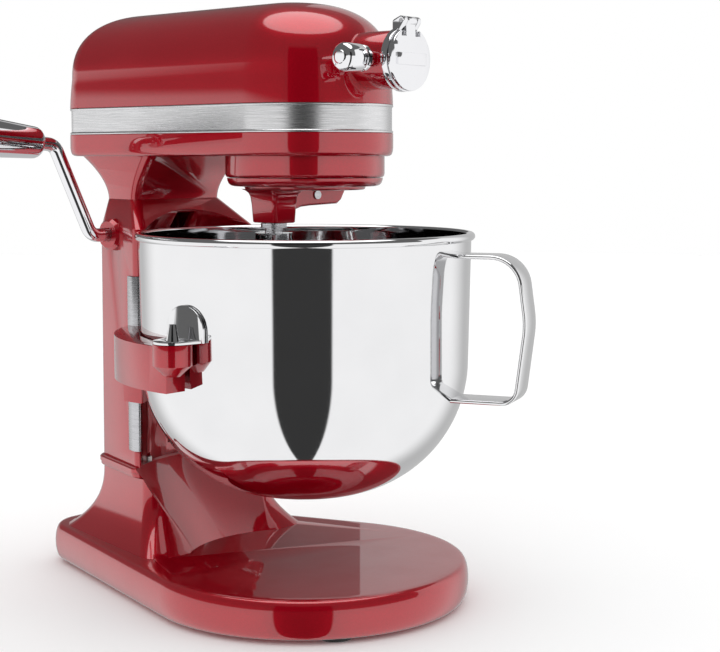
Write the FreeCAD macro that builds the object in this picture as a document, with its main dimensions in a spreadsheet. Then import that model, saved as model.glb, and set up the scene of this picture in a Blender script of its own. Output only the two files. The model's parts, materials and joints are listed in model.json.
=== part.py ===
import FreeCAD, Part
import math
import os
from types import SimpleNamespace

import Sketcher
from FreeCAD import Placement, Rotation, Vector

# Bowl-lift stand mixer. Millimetres, +Z up, +X towards the attachment hub, +Y the mixer's left.
# The origin is on the counter, straight below the axis of the bowl and of the planetary drive.

SIZES = {
    # casting walls, clearances and small fasteners
    "casting_wall": 4.0,
    "shell_wall": 3.5,
    "seam_gap": 0.3,
    "running_gap": 0.05,
    "screw_radius": 3.0,
    "screw_head_radius": 5.5,
    "screw_head_height": 4.0,
    "screw_length": 9.5,
    # base: a round plate under the bowl that tapers back to a rounded rear end
    "base_radius": 116.0,
    "base_rear_reach": 230.0,
    "base_rear_half_width": 58.0,
    "base_rear_corner": 34.0,
    "base_clearance": 3.0,
    "base_plate_top": 29.5,
    "base_wall": 7.0,
    "plate_recess_radius": 88.0,
    "plate_recess_depth": 1.5,
    "foot_radius": 11.0,
    "foot_height": 5.0,
    "foot_stem_radius": 4.0,
    "foot_stem_length": 8.0,
    "front_foot_x": 78.0,
    "front_foot_y": 58.0,
    "rear_foot_x": 194.0,
    "rear_foot_y": 30.0,
    # column: a tapered post with a hollow front that follows the bowl
    "column_foot_height": 88.0,
    "column_front": 107.0,
    "column_half_width": 60.0,
    "column_front_corner": 6.0,
    "column_rear": 175.0,
    "column_rear_half_width": 43.0,
    "column_rear_corner": 12.0,
    "column_hollow_depth": 27.0,
    "column_shoulder": 262.0,
    "column_top": 283.0,
    "column_floor": 6.0,
    "column_lip": 3.0,
    "slot_half_width": 9.0,
    "slot_bottom": 97.0,
    "slot_top": 273.0,
    "guide_length": 128.0,
    "guide_bottom": 100.0,
    "guide_depth": 15.0,
    "guide_thickness": 2.5,
    "guide_proud": 1.0,
    # neck on top of the column
    "neck_front": 128.0,
    "neck_half_width": 43.6,
    "neck_rear": 172.0,
    "neck_rear_half_width": 38.0,
    "neck_floor": 5.0,
    "neck_opening": 14.0,
    # head: a lower gear case, an upper motor housing and a band over their joint
    "head_radius": 62.0,
    "head_rear": 204.0,
    "head_rear_half_width": 55.0,
    "head_rear_corner": 25.0,
    "head_bottom": 315.0,
    "drum_bottom": 300.0,
    "drum_radius": 57.5,
    "band_bottom": 331.0,
    "band_height": 19.5,
    "band_thickness": 1.2,
    "case_joint": 341.0,
    "dome_side": 24.0,
    "dome_rise": 47.0,
    "dome_spread": 38.0,
    # attachment hub on the nose
    "hub_height": 379.0,
    "hub_boss_radius": 19.5,
    "hub_bore_radius": 14.0,
    "hub_face": 86.0,
    "hub_ring_radius": 21.5,
    "hub_ring_thickness": 5.0,
    "hub_cover_thickness": 3.2,
    "hub_hinge_rise": 25.0,
    "hub_pin_radius": 1.5,
    "knob_radius": 9.5,
    "knob_length": 24.0,
    "knob_place": 75.0,
    "knob_start": 26.0,
    "socket_side": 9.5,
    "hub_spindle_radius": 9.0,
    # planetary drive
    "planet_angle": -97.5,
    "planet_module": 1.5,
    "planet_teeth": 14,
    "ring_teeth": 52,
    "ring_gear_radius": 50.0,
    "ring_gear_height": 9.5,
    "opening_radius": 43.0,
    "planetary_radius": 41.5,
    "planetary_bottom": 293.0,
    "post_bottom": 269.0,
    "post_radius": 14.5,
    "agitator_radius": 6.25,
    "agitator_bottom": 240.0,
    "agitator_pin_height": 254.0,
    "agitator_pin_radius": 2.0,
    "agitator_pin_length": 20.0,
    "bush_wall": 2.5,
    "main_shaft_radius": 6.0,
    "roll_pin_height": 288.0,
    "roll_pin_radius": 3.0,
    # gear train
    "bevel_module": 1.5,
    "bevel_teeth": 42,
    "bevel_pinion_teeth": 14,
    "bevel_face": 8.0,
    "spur_module": 0.9,
    "spur_teeth": 54,
    "spur_pinion_teeth": 12,
    "spur_width": 7.0,
    "gear_backlash": 0.4,
    "layshaft_radius": 4.0,
    "bearing_wall": 4.0,
    "bearing_width": 7.0,
    # motor
    "motor_side": 16.0,
    "motor_radius": 33.0,
    "motor_front": 105.0,
    "motor_length": 55.0,
    "motor_plate": 5.0,
    "rotor_radius": 19.4,
    "motor_bore_radius": 20.0,
    "rotor_shaft_radius": 4.0,
    "fan_radius": 26.0,
    # bowl
    "bowl_wall": 1.2,
    "bowl_floor": 80.0,
    "bowl_curve_radius": 95.0,
    "bowl_curve_centre": 20.0,
    "bowl_curve_height": 172.0,
    "bowl_mouth_radius": 117.0,
    "bowl_top": 262.0,
    "rim_bead_radius": 2.8,
    "handle_angle": 19.0,
    "handle_width": 26.0,
    "handle_strap": 3.0,
    "handle_reach": 165.0,
    "handle_top": 249.0,
    "handle_bottom": 148.0,
    "handle_corner": 16.0,
    # bowl support: carriage, cups, pins
    "support_inner": 117.4,
    "support_outer": 134.0,
    "support_top": 192.0,
    "support_height": 30.0,
    "slider_bottom": 138.0,
    "cup_place": 128.0,
    "cup_radius": 13.0,
    "cup_tip_radius": 5.5,
    "cup_top": 194.0,
    "cup_depth": 21.0,
    "pin_radius": 4.7,
    "pin_tip_radius": 2.4,
    "pin_height": 12.5,
    "flange_thickness": 2.0,
    "flange_radius": 13.0,
    "bracket_half_width": 17.0,
    "bracket_height": 24.0,
    # lift lever and its crank
    "lever_place": 148.0,
    "lever_height": 257.0,
    "lever_shaft_radius": 5.0,
    "lever_bush_radius": 8.0,
    "lever_side": 68.0,
    "lever_rise": 66.0,
    "lever_out": 25.0,
    "lever_back": 12.0,
    "grip_length": 95.0,
    "grip_inner_radius": 12.0,
    "grip_outer_radius": 17.0,
    "crank_radius": 16.0,
    "crank_half_turn": 70.0,
    "crank_thickness": 4.0,
    "lift_rod_radius": 3.0,
    "lift_rod_length": 134.0,
    "crank_pin_radius": 2.5,
    "lift_nut_radius": 5.5,
    "lift_nut_height": 4.0,
    "lug_drop": 24.0,
    "lug_thickness": 8.0,
    # dough hook
    "hook_collar_radius": 13.0,
    "hook_collar_height": 34.0,
    "hook_bottom": 97.0,
    "hook_radius": 38.0,
    "hook_rod_radius": 5.6,
    # speed control
    "speed_travel": 45.0,
    "speed_slot_rear": 74.0,
    "speed_slot_height": 6.0,
}

doc = FreeCAD.newDocument("stand_mixer")
sheet = doc.addObject("Spreadsheet::Sheet", "Sizes")
for row, (name, number) in enumerate(SIZES.items(), start=1):
    sheet.set(f"A{row}", name)
    sheet.set(f"B{row}", str(number))
    sheet.setAlias(f"B{row}", name)
doc.recompute()


class Size:
    """A length or an angle, with the formula that gives it from the sheet's cells."""

    def __init__(self, value, text):
        self.value = float(value)
        self.text = text

    def __float__(self):
        return self.value

    def __add__(self, other):
        return join(self, "+", other)

    def __radd__(self, other):
        return join(other, "+", self)

    def __sub__(self, other):
        return join(self, "-", other)

    def __rsub__(self, other):
        return join(other, "-", self)

    def __mul__(self, other):
        return join(self, "*", other)

    def __rmul__(self, other):
        return join(other, "*", self)

    def __truediv__(self, other):
        return join(self, "/", other)

    def __neg__(self):
        return join(0, "-", self)


def as_size(number):
    """Any number as a Size; a plain number is its own formula."""
    return number if isinstance(number, Size) else Size(number, f"({float(number)})")


def join(left, sign, right):
    """Two sizes joined by one sign, in value and in formula."""
    left, right = as_size(left), as_size(right)
    results = {
        "+": left.value + right.value,
        "-": left.value - right.value,
        "*": left.value * right.value,
        "/": left.value / (right.value or 1.0),
    }
    return Size(results[sign], f"({left.text} {sign} {right.text})")


def root(number):
    """The square root of a size."""
    return Size(math.sqrt(number.value), f"sqrt({number.text})")


def sine(angle):
    """The sine of an angle in degrees."""
    return Size(math.sin(math.radians(angle.value)), f"sin({angle.text})")


def cosine(angle):
    """The cosine of an angle in degrees."""
    return Size(math.cos(math.radians(angle.value)), f"cos({angle.text})")


mm = SimpleNamespace(**{name: Size(sheet.get(name), f"Sizes.{name}") for name in SIZES})

TURNS = {
    "Z": Rotation(),
    "-Z": Rotation(Vector(1, 0, 0), 180),
    "X": Rotation(Vector(0, 1, 0), 90),
    "-X": Rotation(Vector(0, 1, 0), -90),
    "Y": Rotation(Vector(1, 0, 0), -90),
    "-Y": Rotation(Vector(1, 0, 0), 90),
}
ORIGIN = (0, 0, 0)
NODES = []


# ---------------------------------------------------------------- building blocks


def place(thing, at=ORIGIN, turn="Z"):
    """Put an object at a point worked out from the sheet, turned by name or by a Rotation."""
    rotation = TURNS[turn] if isinstance(turn, str) else turn
    thing.Placement = Placement(Vector(*(float(number) for number in at)), rotation)
    for axis, number in zip("xyz", at):
        if isinstance(number, Size):
            thing.setExpression(f"Placement.Base.{axis}", number.text)
    return thing


def bind(thing, **amounts):
    """Tie an object's properties to sizes."""
    for name, amount in amounts.items():
        thing.setExpression(name, as_size(amount).text)
    return thing


def node(label, thing):
    """Name an object as one of the mixer's pieces."""
    thing.Label = label
    NODES.append(thing)
    return thing


def cylinder(radius, length, at=ORIGIN, turn="Z"):
    """A cylinder from a point along an axis."""
    return place(bind(doc.addObject("Part::Cylinder", "Rod"), Radius=radius, Height=length), at, turn)


def cone(start_radius, end_radius, length, at=ORIGIN, turn="Z"):
    """A cone's frustum from a point along an axis."""
    solid = doc.addObject("Part::Cone", "Taper")
    return place(bind(solid, Radius1=start_radius, Radius2=end_radius, Height=length), at, turn)


def sphere(radius, at=ORIGIN):
    """A ball round a point."""
    return place(bind(doc.addObject("Part::Sphere", "Ball"), Radius=radius), at)


def box(low, high):
    """A box between two corners."""
    solid = doc.addObject("Part::Box", "Block")
    sides = [as_size(top) - bottom for bottom, top in zip(low, high)]
    return place(bind(solid, Length=sides[0], Width=sides[1], Height=sides[2]), low)


def cut(base, *tools):
    """One solid less others."""
    result = base
    for tool in tools:
        step = doc.addObject("Part::Cut", "Cut")
        step.Base, step.Tool = result, tool
        result = step
    return result


def fuse(*solids):
    """Several solids as one."""
    result = doc.addObject("Part::MultiFuse", "Fusion")
    result.Shapes = list(solids)
    return result


def common(*solids):
    """What several solids share."""
    result = doc.addObject("Part::MultiCommon", "Common")
    result.Shapes = list(solids)
    return result


def group(*solids):
    """Separate, identical solids kept together as one piece, such as a set of screws."""
    result = doc.addObject("Part::Compound", "Set")
    result.Links = list(solids)
    return result


def tube(outer, inner, length, at=ORIGIN, turn="Z"):
    """A ring or sleeve from a point along an axis."""
    return cut(cylinder(outer, length, at, turn), cylinder(inner, length, at, turn))


def turned_about_axis(thing, angle):
    """The same solid turned about the mixer's vertical axis."""
    copy = group(thing)
    copy.Placement = Placement(Vector(), Rotation(Vector(0, 0, 1), float(angle)))
    copy.setExpression("Placement.Rotation.Angle", as_size(angle).text)
    return copy


def made(shape, at=ORIGIN, turn="Z"):
    """A solid whose shape Part's own functions made from the sheet's values."""
    feature = doc.addObject("Part::Feature", "Made")
    feature.Shape = shape
    return place(feature, at, turn)


# ---------------------------------------------------------------- sketches


def new_body():
    """A PartDesign body."""
    return doc.addObject("PartDesign::Body", "Body")


def new_sketch(body, plane, offset):
    """A sketch on one of the body's own origin planes, moved along the plane's normal."""
    sketch = body.newObject("Sketcher::SketchObject", "Outline")
    sketch.AttachmentSupport = [
        (feature, "") for feature in body.Origin.OriginFeatures if feature.Role == plane
    ]
    sketch.MapMode = "FlatFace"
    sketch.AttachmentOffset = Placement(Vector(0, 0, float(offset)), Rotation())
    sketch.setExpression("AttachmentOffset.Base.z", as_size(offset).text)
    return sketch


def tie(sketch, kind, places, amount):
    """Add a dimension to a sketch and bind it to a size."""
    amount = as_size(amount)
    number = sketch.addConstraint(Sketcher.Constraint(kind, *places, amount.value))
    sketch.setExpression(f"Constraints[{number}]", amount.text)


def draw_hull(sketch, circles):
    """Draw the tight outline round circles (x, y, radius), given anticlockwise."""
    spots = [tuple(float(number) for number in circle) for circle in circles]
    count = len(spots)
    sides = []
    for index, (x, y, radius) in enumerate(spots):
        next_x, next_y, next_radius = spots[(index + 1) % count]
        reach = math.hypot(next_x - x, next_y - y)
        along = ((next_x - x) / reach, (next_y - y) / reach)
        lean = (radius - next_radius) / reach
        square = math.sqrt(1 - lean * lean)
        normal = (lean * along[0] + square * along[1], lean * along[1] - square * along[0])
        sides.append((
            Vector(x + radius * normal[0], y + radius * normal[1], 0),
            Vector(next_x + next_radius * normal[0], next_y + next_radius * normal[1], 0),
            math.atan2(normal[1], normal[0]),
        ))
    for index, (x, y, radius) in enumerate(spots):
        start, end = sides[index - 1][2], sides[index][2]
        end += 2 * math.pi if end < start else 0
        circle = Part.Circle(Vector(x, y, 0), Vector(0, 0, 1), radius)
        sketch.addGeometry(Part.ArcOfCircle(circle, start, end))
        sketch.addGeometry(Part.LineSegment(sides[index][0], sides[index][1]))
    for index, (x, y, radius) in enumerate(circles):
        arc, side, following = 2 * index, 2 * index + 1, 2 * ((index + 1) % count)
        sketch.addConstraint(Sketcher.Constraint("Tangent", arc, 2, side, 1))
        sketch.addConstraint(Sketcher.Constraint("Tangent", side, 2, following, 1))
        tie(sketch, "DistanceX", (-1, 1, arc, 3), x)
        tie(sketch, "DistanceY", (-1, 1, arc, 3), y)
        tie(sketch, "Radius", (arc,), radius)


def draw_outline(sketch, points):
    """Draw a closed outline through points (x, y), or (x, y, radius) where an arc leaves the point.

    A positive radius bends to the left of the way round, as on a convex anticlockwise outline.
    """
    count = len(points)
    ends = []
    for index, point in enumerate(points):
        start = Vector(float(point[0]), float(point[1]), 0)
        following = points[(index + 1) % count]
        end = Vector(float(following[0]), float(following[1]), 0)
        if len(point) == 2:
            sketch.addGeometry(Part.LineSegment(start, end))
            ends.append((1, 2))
            continue
        radius = float(point[2])
        half = (end - start) * 0.5
        square = Vector(-half.y, half.x, 0).normalize()
        lift = math.sqrt(max(0.0, radius * radius - half.Length ** 2)) * (1 if radius > 0 else -1)
        centre = start + half + square * lift
        angles = [math.atan2(spot.y - centre.y, spot.x - centre.x) for spot in (start, end)]
        if radius < 0:
            angles.reverse()
        circle = Part.Circle(centre, Vector(0, 0, 1), abs(radius))
        sketch.addGeometry(Part.ArcOfCircle(circle, angles[0], angles[1]))
        ends.append((1, 2) if radius > 0 else (2, 1))
    for index, point in enumerate(points):
        following = (index + 1) % count
        joint = (index, ends[index][1], following, ends[following][0])
        sketch.addConstraint(Sketcher.Constraint("Coincident", *joint))
        tie(sketch, "DistanceX", (-1, 1, index, ends[index][0]), point[0])
        tie(sketch, "DistanceY", (-1, 1, index, ends[index][0]), point[1])
        if len(point) == 3:
            tie(sketch, "Radius", (index,), point[2] if float(point[2]) > 0 else -point[2])


def prism(circles, bottom, top):
    """The outline round circles, raised from one height to another."""
    body = new_body()
    sketch = new_sketch(body, "XY_Plane", bottom)
    draw_hull(sketch, circles)
    pad = body.newObject("PartDesign::Pad", "Pad")
    pad.Profile = sketch
    bind(pad, Length=as_size(top) - bottom)
    return body


def lofted(levels, ruled=True):
    """A solid through outlines round circles, each level given as (height, circles)."""
    body = new_body()
    sketches = []
    for height, circles in levels:
        sketches.append(new_sketch(body, "XY_Plane", height))
        draw_hull(sketches[-1], circles)
    loft = body.newObject("PartDesign::AdditiveLoft", "Loft")
    loft.Profile = sketches[0]
    loft.Sections = sketches[1:]
    loft.Ruled = ruled
    return body


def spun(points):
    """An outline of (radius, height) points turned round the vertical axis."""
    body = new_body()
    sketch = new_sketch(body, "XZ_Plane", 0)
    draw_outline(sketch, points)
    turn = body.newObject("PartDesign::Revolution", "Revolution")
    turn.Profile = sketch
    turn.ReferenceAxis = (sketch, ["V_Axis"])
    turn.Angle = 360
    return body


def side_prism(draw, shapes, near, far):
    """An outline of (x, z) drawn on the XZ plane and raised along Y between two places."""
    body = new_body()
    sketch = new_sketch(body, "XZ_Plane", -as_size(far))
    draw(sketch, shapes)
    pad = body.newObject("PartDesign::Pad", "Pad")
    pad.Profile = sketch
    bind(pad, Length=as_size(far) - near)
    return body


# ---------------------------------------------------------------- shapes from Part's own functions


def rounded_path(points, bend_radius):
    """A wire of straight runs between points, with a tangent arc at each corner."""
    edges = []
    start = points[0]
    for index in range(1, len(points) - 1):
        corner = points[index]
        back = (points[index - 1] - corner).normalize()
        ahead = (points[index + 1] - corner).normalize()
        half_angle = back.getAngle(ahead) / 2
        runs = [(points[index + side] - corner).Length for side in (-1, 1)]
        reach = min(bend_radius / math.tan(half_angle), 0.48 * min(runs))
        radius = reach * math.tan(half_angle)
        entry, leaving = corner + back * reach, corner + ahead * reach
        middle_way = (back + ahead).normalize()
        middle = corner + middle_way * (radius / math.sin(half_angle) - radius)
        edges.append(Part.LineSegment(start, entry).toShape())
        edges.append(Part.Arc(entry, middle, leaving).toShape())
        start = leaving
    edges.append(Part.LineSegment(start, points[-1]).toShape())
    return Part.Wire(edges)


def bent_rod(points, radius, bend_radius):
    """A round rod along straight runs and tangent arcs."""
    path = rounded_path(points, bend_radius)
    way = (points[1] - points[0]).normalize()
    ring = Part.Wire(Part.Circle(points[0], way, radius).toShape())
    return path.makePipeShell([ring], True, False)


def tooth_outline(radius, module, thickness_change, tip, bottom, spread=1.0):
    """Half of the angles and the radii of an involute tooth, from its root to its tip.

    spread is 1 for a spur gear, and for a bevel gear the ratio of the virtual gear's radius to
    its own: the radii returned are then those of the virtual gear.
    """
    pressure = math.radians(20)
    base = radius * math.cos(pressure)
    half = (math.pi * module / 2 + thickness_change) / (2 * radius)
    half += math.tan(pressure) - pressure
    marks = []
    for share in (0.0, 0.45, 0.75, 1.0):
        mark = bottom + (tip - bottom) * share
        slant = math.acos(min(1.0, base / mark))
        marks.append((mark, (half - (math.tan(slant) - slant)) * spread))
    return marks


def toothed_points(marks, teeth, height=0.0, phase=0.0):
    """The corners round a gear at one height, from one tooth's half outline."""
    points = []
    for tooth in range(teeth):
        middle = 2 * math.pi * tooth / teeth + phase
        flank = [(mark, middle - half) for mark, half in marks]
        flank += [(mark, middle + half) for mark, half in reversed(marks)]
        points += [Vector(mark * math.cos(a), mark * math.sin(a), height) for mark, a in flank]
    return points


def flat_face(points):
    """A flat face with straight sides."""
    return Part.Face(Part.makePolygon(points + points[:1]))


def pyramid_slice(points, small, large):
    """The solid between two copies of a flat outline scaled from the origin, with flat sides."""
    near, far = ([point * share for point in points] for share in (small, large))
    faces = [flat_face(near), flat_face(far)]
    for index, corner in enumerate(near):
        following = (index + 1) % len(near)
        faces.append(flat_face([corner, near[following], far[following], far[index]]))
    solid = Part.makeSolid(Part.makeShell(faces))
    if solid.Volume < 0:
        solid.reverse()
    return solid


def spur_gear(module, teeth, width, bore, phase_teeth=0.0):
    """A spur gear along +Z from the origin, with a tooth on +X turned by a share of a tooth."""
    radius = module * teeth / 2
    thinner = -float(mm.gear_backlash) / 2
    marks = tooth_outline(radius, module, thinner, radius + 0.9 * module, radius - 1.2 * module)
    outline = toothed_points(marks, teeth, 0.0, 2 * math.pi * phase_teeth / teeth)
    gear = flat_face(outline).extrude(Vector(0, 0, width))
    return gear.cut(Part.makeCylinder(bore, width))


def inner_gear(module, teeth, width, outer):
    """An internal gear along +Z from the origin, with a tooth space on +X."""
    radius = module * teeth / 2
    wider = float(mm.gear_backlash) / 2
    marks = tooth_outline(radius, module, wider, radius + 1.25 * module, radius - 0.85 * module)
    hole = flat_face(toothed_points(marks, teeth)).extrude(Vector(0, 0, width))
    return Part.makeCylinder(outer, width).cut(hole)


def bevel_gear(module, teeth, mate_teeth, face, bore, back, phase_teeth=0.0):
    """A bevel gear along -Z with its cone's apex at the origin.

    face is the length of the teeth along the cone, and back the depth of metal behind them.
    """
    radius = module * teeth / 2
    drop = module * mate_teeth / 2
    slant = math.hypot(radius, drop)
    cos_cone, sin_cone = drop / slant, radius / slant
    virtual = radius / cos_cone
    thinner = -float(mm.gear_backlash) / 2
    tip, bottom = virtual + 0.85 * module, virtual - 1.25 * module
    marks = []
    for mark, half in tooth_outline(virtual, module, thinner, tip, bottom, 1 / cos_cone):
        out, up = radius + (mark - virtual) * cos_cone, (mark - virtual) * sin_cone
        marks.append((out * drop / (drop - up), half))
    phase = 2 * math.pi * phase_teeth / teeth
    inner_share = 1 - face / slant
    large = toothed_points(marks, teeth, -drop, phase)
    teeth_cone = pyramid_slice(large, 0.6 * inner_share, 2.2)
    rise = 1.6 * module
    rim_out = (radius + rise * cos_cone, -drop + rise * sin_cone)
    rim_in = ((radius + rise * cos_cone) * inner_share, (-drop + rise * sin_cone) * inner_share)
    heel = (radius - 2 * module * cos_cone, -drop - 2 * module * sin_cone)
    toe = (max(bore + 0.5, heel[0] * inner_share), heel[1] * inner_share)
    floor = heel[1] - back
    outline = [(bore, floor), (heel[0], floor), heel, rim_out, rim_in, toe, (bore, toe[1])]
    blank = flat_face([Vector(out, 0, up) for out, up in outline]).revolve(Vector(), Vector(0, 0, 1), 360)
    return blank.common(teeth_cone)


def spring(radius, wire_radius, length, turns):
    """A coil spring along +Z from the origin."""
    helix = Part.makeHelix(length / turns, length, radius)
    ring = Part.Wire(Part.Circle(Vector(radius, 0, 0), Vector(0, 1, 0), wire_radius).toShape())
    return Part.Wire(helix.Edges).makePipeShell([ring], True, True)


def turned_shape(shape, angle):
    """A shape turned about +Z by an angle in degrees."""
    return shape.rotated(Vector(), Vector(0, 0, 1), angle)


# ---------------------------------------------------------------- outlines shared by several pieces


def base_outline(inset):
    """The base seen from above, drawn in by an inset."""
    corner = mm.base_rear_corner
    back, side = mm.base_rear_reach - corner, mm.base_rear_half_width - corner
    return [
        (0, 0, mm.base_radius - inset),
        (-back, side, corner - inset),
        (-back, -side, corner - inset),
    ]


def column_outline(inset):
    """The column seen from above before its front is hollowed."""
    front, back = mm.column_front_corner, mm.column_rear_corner
    return [
        (-(mm.column_front + front), mm.column_half_width - front, front - inset),
        (-(mm.column_rear - back), mm.column_rear_half_width - back, back - inset),
        (-(mm.column_rear - back), -(mm.column_rear_half_width - back), back - inset),
        (-(mm.column_front + front), -(mm.column_half_width - front), front - inset),
    ]


def neck_outline(inset):
    """The neck at its seam with the column."""
    front, back = mm.column_front_corner, mm.column_rear_corner
    return [
        (-(mm.neck_front + front), mm.neck_half_width - front, front - inset),
        (-(mm.neck_rear - back), mm.neck_rear_half_width - back, back - inset),
        (-(mm.neck_rear - back), -(mm.neck_rear_half_width - back), back - inset),
        (-(mm.neck_front + front), -(mm.neck_half_width - front), front - inset),
    ]


def head_outline(inset, set_back=0):
    """The head seen from above: a half-round nose and a rear end with two rounded corners."""
    corner = mm.head_rear_corner - 0.45 * as_size(inset)
    back = mm.head_rear - inset - corner
    side = mm.head_rear_half_width - inset - corner
    return [
        (-as_size(set_back), 0, mm.head_radius - inset),
        (-back, side, corner),
        (-back, -side, corner),
    ]


def pedestal_levels(inset):
    """The flare from the base plate up to the foot of the column."""
    lip = mm.column_lip
    back, side = mm.base_rear_reach, mm.base_rear_half_width
    foot = mm.column_foot_height
    bottom = mm.base_plate_top - 4
    rise = foot - bottom
    top = column_outline(-lip + inset)
    wide = [
        (-82, mm.column_half_width + 8, 16 - as_size(inset)),
        (-(back - 30), side - 32, 22 - as_size(inset)),
        (-(back - 30), -(side - 32), 22 - as_size(inset)),
        (-82, -(mm.column_half_width + 8), 16 - as_size(inset)),
    ]
    middle = [
        (-(mm.column_front - 2), mm.column_half_width - 4, 11 - as_size(inset)),
        (-(mm.column_rear - 8), mm.column_rear_half_width - 14, 18 - as_size(inset)),
        (-(mm.column_rear - 8), -(mm.column_rear_half_width - 14), 18 - as_size(inset)),
        (-(mm.column_front - 2), -(mm.column_half_width - 4), 11 - as_size(inset)),
    ]
    return [(bottom, wide), (bottom + rise * 0.45, middle), (foot - 5, top), (foot, top)]


def column_hollow(inset, low, high):
    """The round hollow down the column's front, which widens out of the way above the shoulder."""
    depth, half = mm.column_hollow_depth, mm.column_half_width
    curve = (half * half + depth * depth) / (2 * depth)
    place_x = -(mm.column_front + depth - curve)
    radius = curve + inset
    shoulder = mm.column_shoulder - 6
    straight = cylinder(radius, shoulder - low, (place_x, 0, low))
    top = cone(radius, radius - 20, as_size(high) - shoulder, (place_x, 0, shoulder))
    return fuse(straight, top)


# ---------------------------------------------------------------- base and feet

FOOT_PLACES = [
    (0, 0),
    (mm.front_foot_x, mm.front_foot_y),
    (mm.front_foot_x, -mm.front_foot_y),
    (-mm.rear_foot_x, mm.rear_foot_y),
    (-mm.rear_foot_x, -mm.rear_foot_y),
]
COLUMN_SCREWS = [(-126, 36), (-126, -36), (-159, 24), (-159, -24)]
NECK_SCREWS = [(-138, 27), (-138, -27), (-157, 21), (-157, -21)]


def base_casting():
    """The base: a thick rounded plate and the pedestal that carries the column, hollow below."""
    under, plate = mm.base_clearance, mm.base_plate_top
    edge = [(under, 5), (under + 8, 1), (plate - 11, 0), (plate - 4, 1.6), (plate, 7)]
    rim = lofted([(height, base_outline(inset)) for height, inset in edge])
    bowl_room = cone(84, 130, mm.column_foot_height + 4 - plate, (0, 0, plate))
    pedestal = cut(lofted(pedestal_levels(0)), bowl_room)
    wall = mm.base_wall
    recess = cylinder(mm.plate_recess_radius, 10, (0, 0, plate - mm.plate_recess_depth))
    ceiling = plate - mm.plate_recess_depth - mm.casting_wall
    below = prism(base_outline(wall), 0, ceiling)
    inner_room = cone(84 + wall, 130 + wall, mm.column_foot_height + 4 - plate, (0, 0, plate))
    inside = cut(lofted(pedestal_levels(wall)), inner_room)
    roof = box((-240, -90, mm.column_foot_height - mm.column_floor), (-60, 90, 100))
    shell = cut(fuse(cut(rim, recess), pedestal), below, cut(inside, roof))
    bosses = [
        cylinder(mm.foot_radius - 1, ceiling + 1 - mm.foot_height, (x, y, mm.foot_height))
        for x, y in FOOT_PLACES
    ]
    stems = [
        cylinder(mm.foot_stem_radius, mm.foot_stem_length, (x, y, mm.foot_height))
        for x, y in FOOT_PLACES
    ]
    bolts = [
        cylinder(mm.screw_radius + mm.running_gap, 40, (x, y, mm.column_foot_height - 20))
        for x, y in COLUMN_SCREWS
    ]
    screw_seat = mm.column_foot_height - mm.column_floor
    head_rooms = [
        cylinder(mm.screw_head_radius + mm.seam_gap, 16, (x, y, screw_seat - 16))
        for x, y in COLUMN_SCREWS
    ]
    return cut(fuse(shell, *bosses), *stems, *bolts, *head_rooms)


def rubber_feet():
    """Five rubber feet, each with a stem pressed into a boss of the base."""
    feet = []
    for x, y in FOOT_PLACES:
        pad = cylinder(mm.foot_radius, mm.foot_height, (x, y, 0))
        stem = cylinder(mm.foot_stem_radius, mm.foot_stem_length, (x, y, mm.foot_height))
        feet.append(fuse(pad, stem))
    return group(*feet)


def screw(x, y, face, length):
    """An upright screw whose head bears on a face from below."""
    head = cylinder(mm.screw_head_radius, mm.screw_head_height, (x, y, face - mm.screw_head_height))
    return fuse(head, cylinder(mm.screw_radius, length, (x, y, face)))


def column_screws():
    """Eight equal screws: four hold the column on the base, and four the neck on the column."""
    lower_face, upper_face = mm.column_foot_height - mm.column_floor, mm.column_top - mm.neck_floor
    lower = [screw(x, y, lower_face, mm.screw_length) for x, y in COLUMN_SCREWS]
    upper = [screw(x, y, upper_face, mm.screw_length) for x, y in NECK_SCREWS]
    return group(*lower, *upper)


# ---------------------------------------------------------------- column and its guides

BOSS_INNER_END = 12


def guide_strip(side):
    """A steel strip folded round a front corner of the column, which the bowl support slides on."""
    bottom, top = mm.guide_bottom, mm.guide_bottom + mm.guide_length
    outer = prism(column_outline(-mm.guide_proud), bottom, top)
    core = prism(column_outline(mm.guide_thickness - mm.guide_proud), bottom - 1, top + 1)
    low, high = (mm.column_half_width - 12, 70) if side > 0 else (-70, -(mm.column_half_width - 12))
    window = box((-(mm.column_front + mm.guide_depth), low, bottom), (-(mm.column_front - 5), high, top))
    return cut(common(cut(outer, core), window), column_hollow(0, bottom - 2, top + 60))


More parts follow.
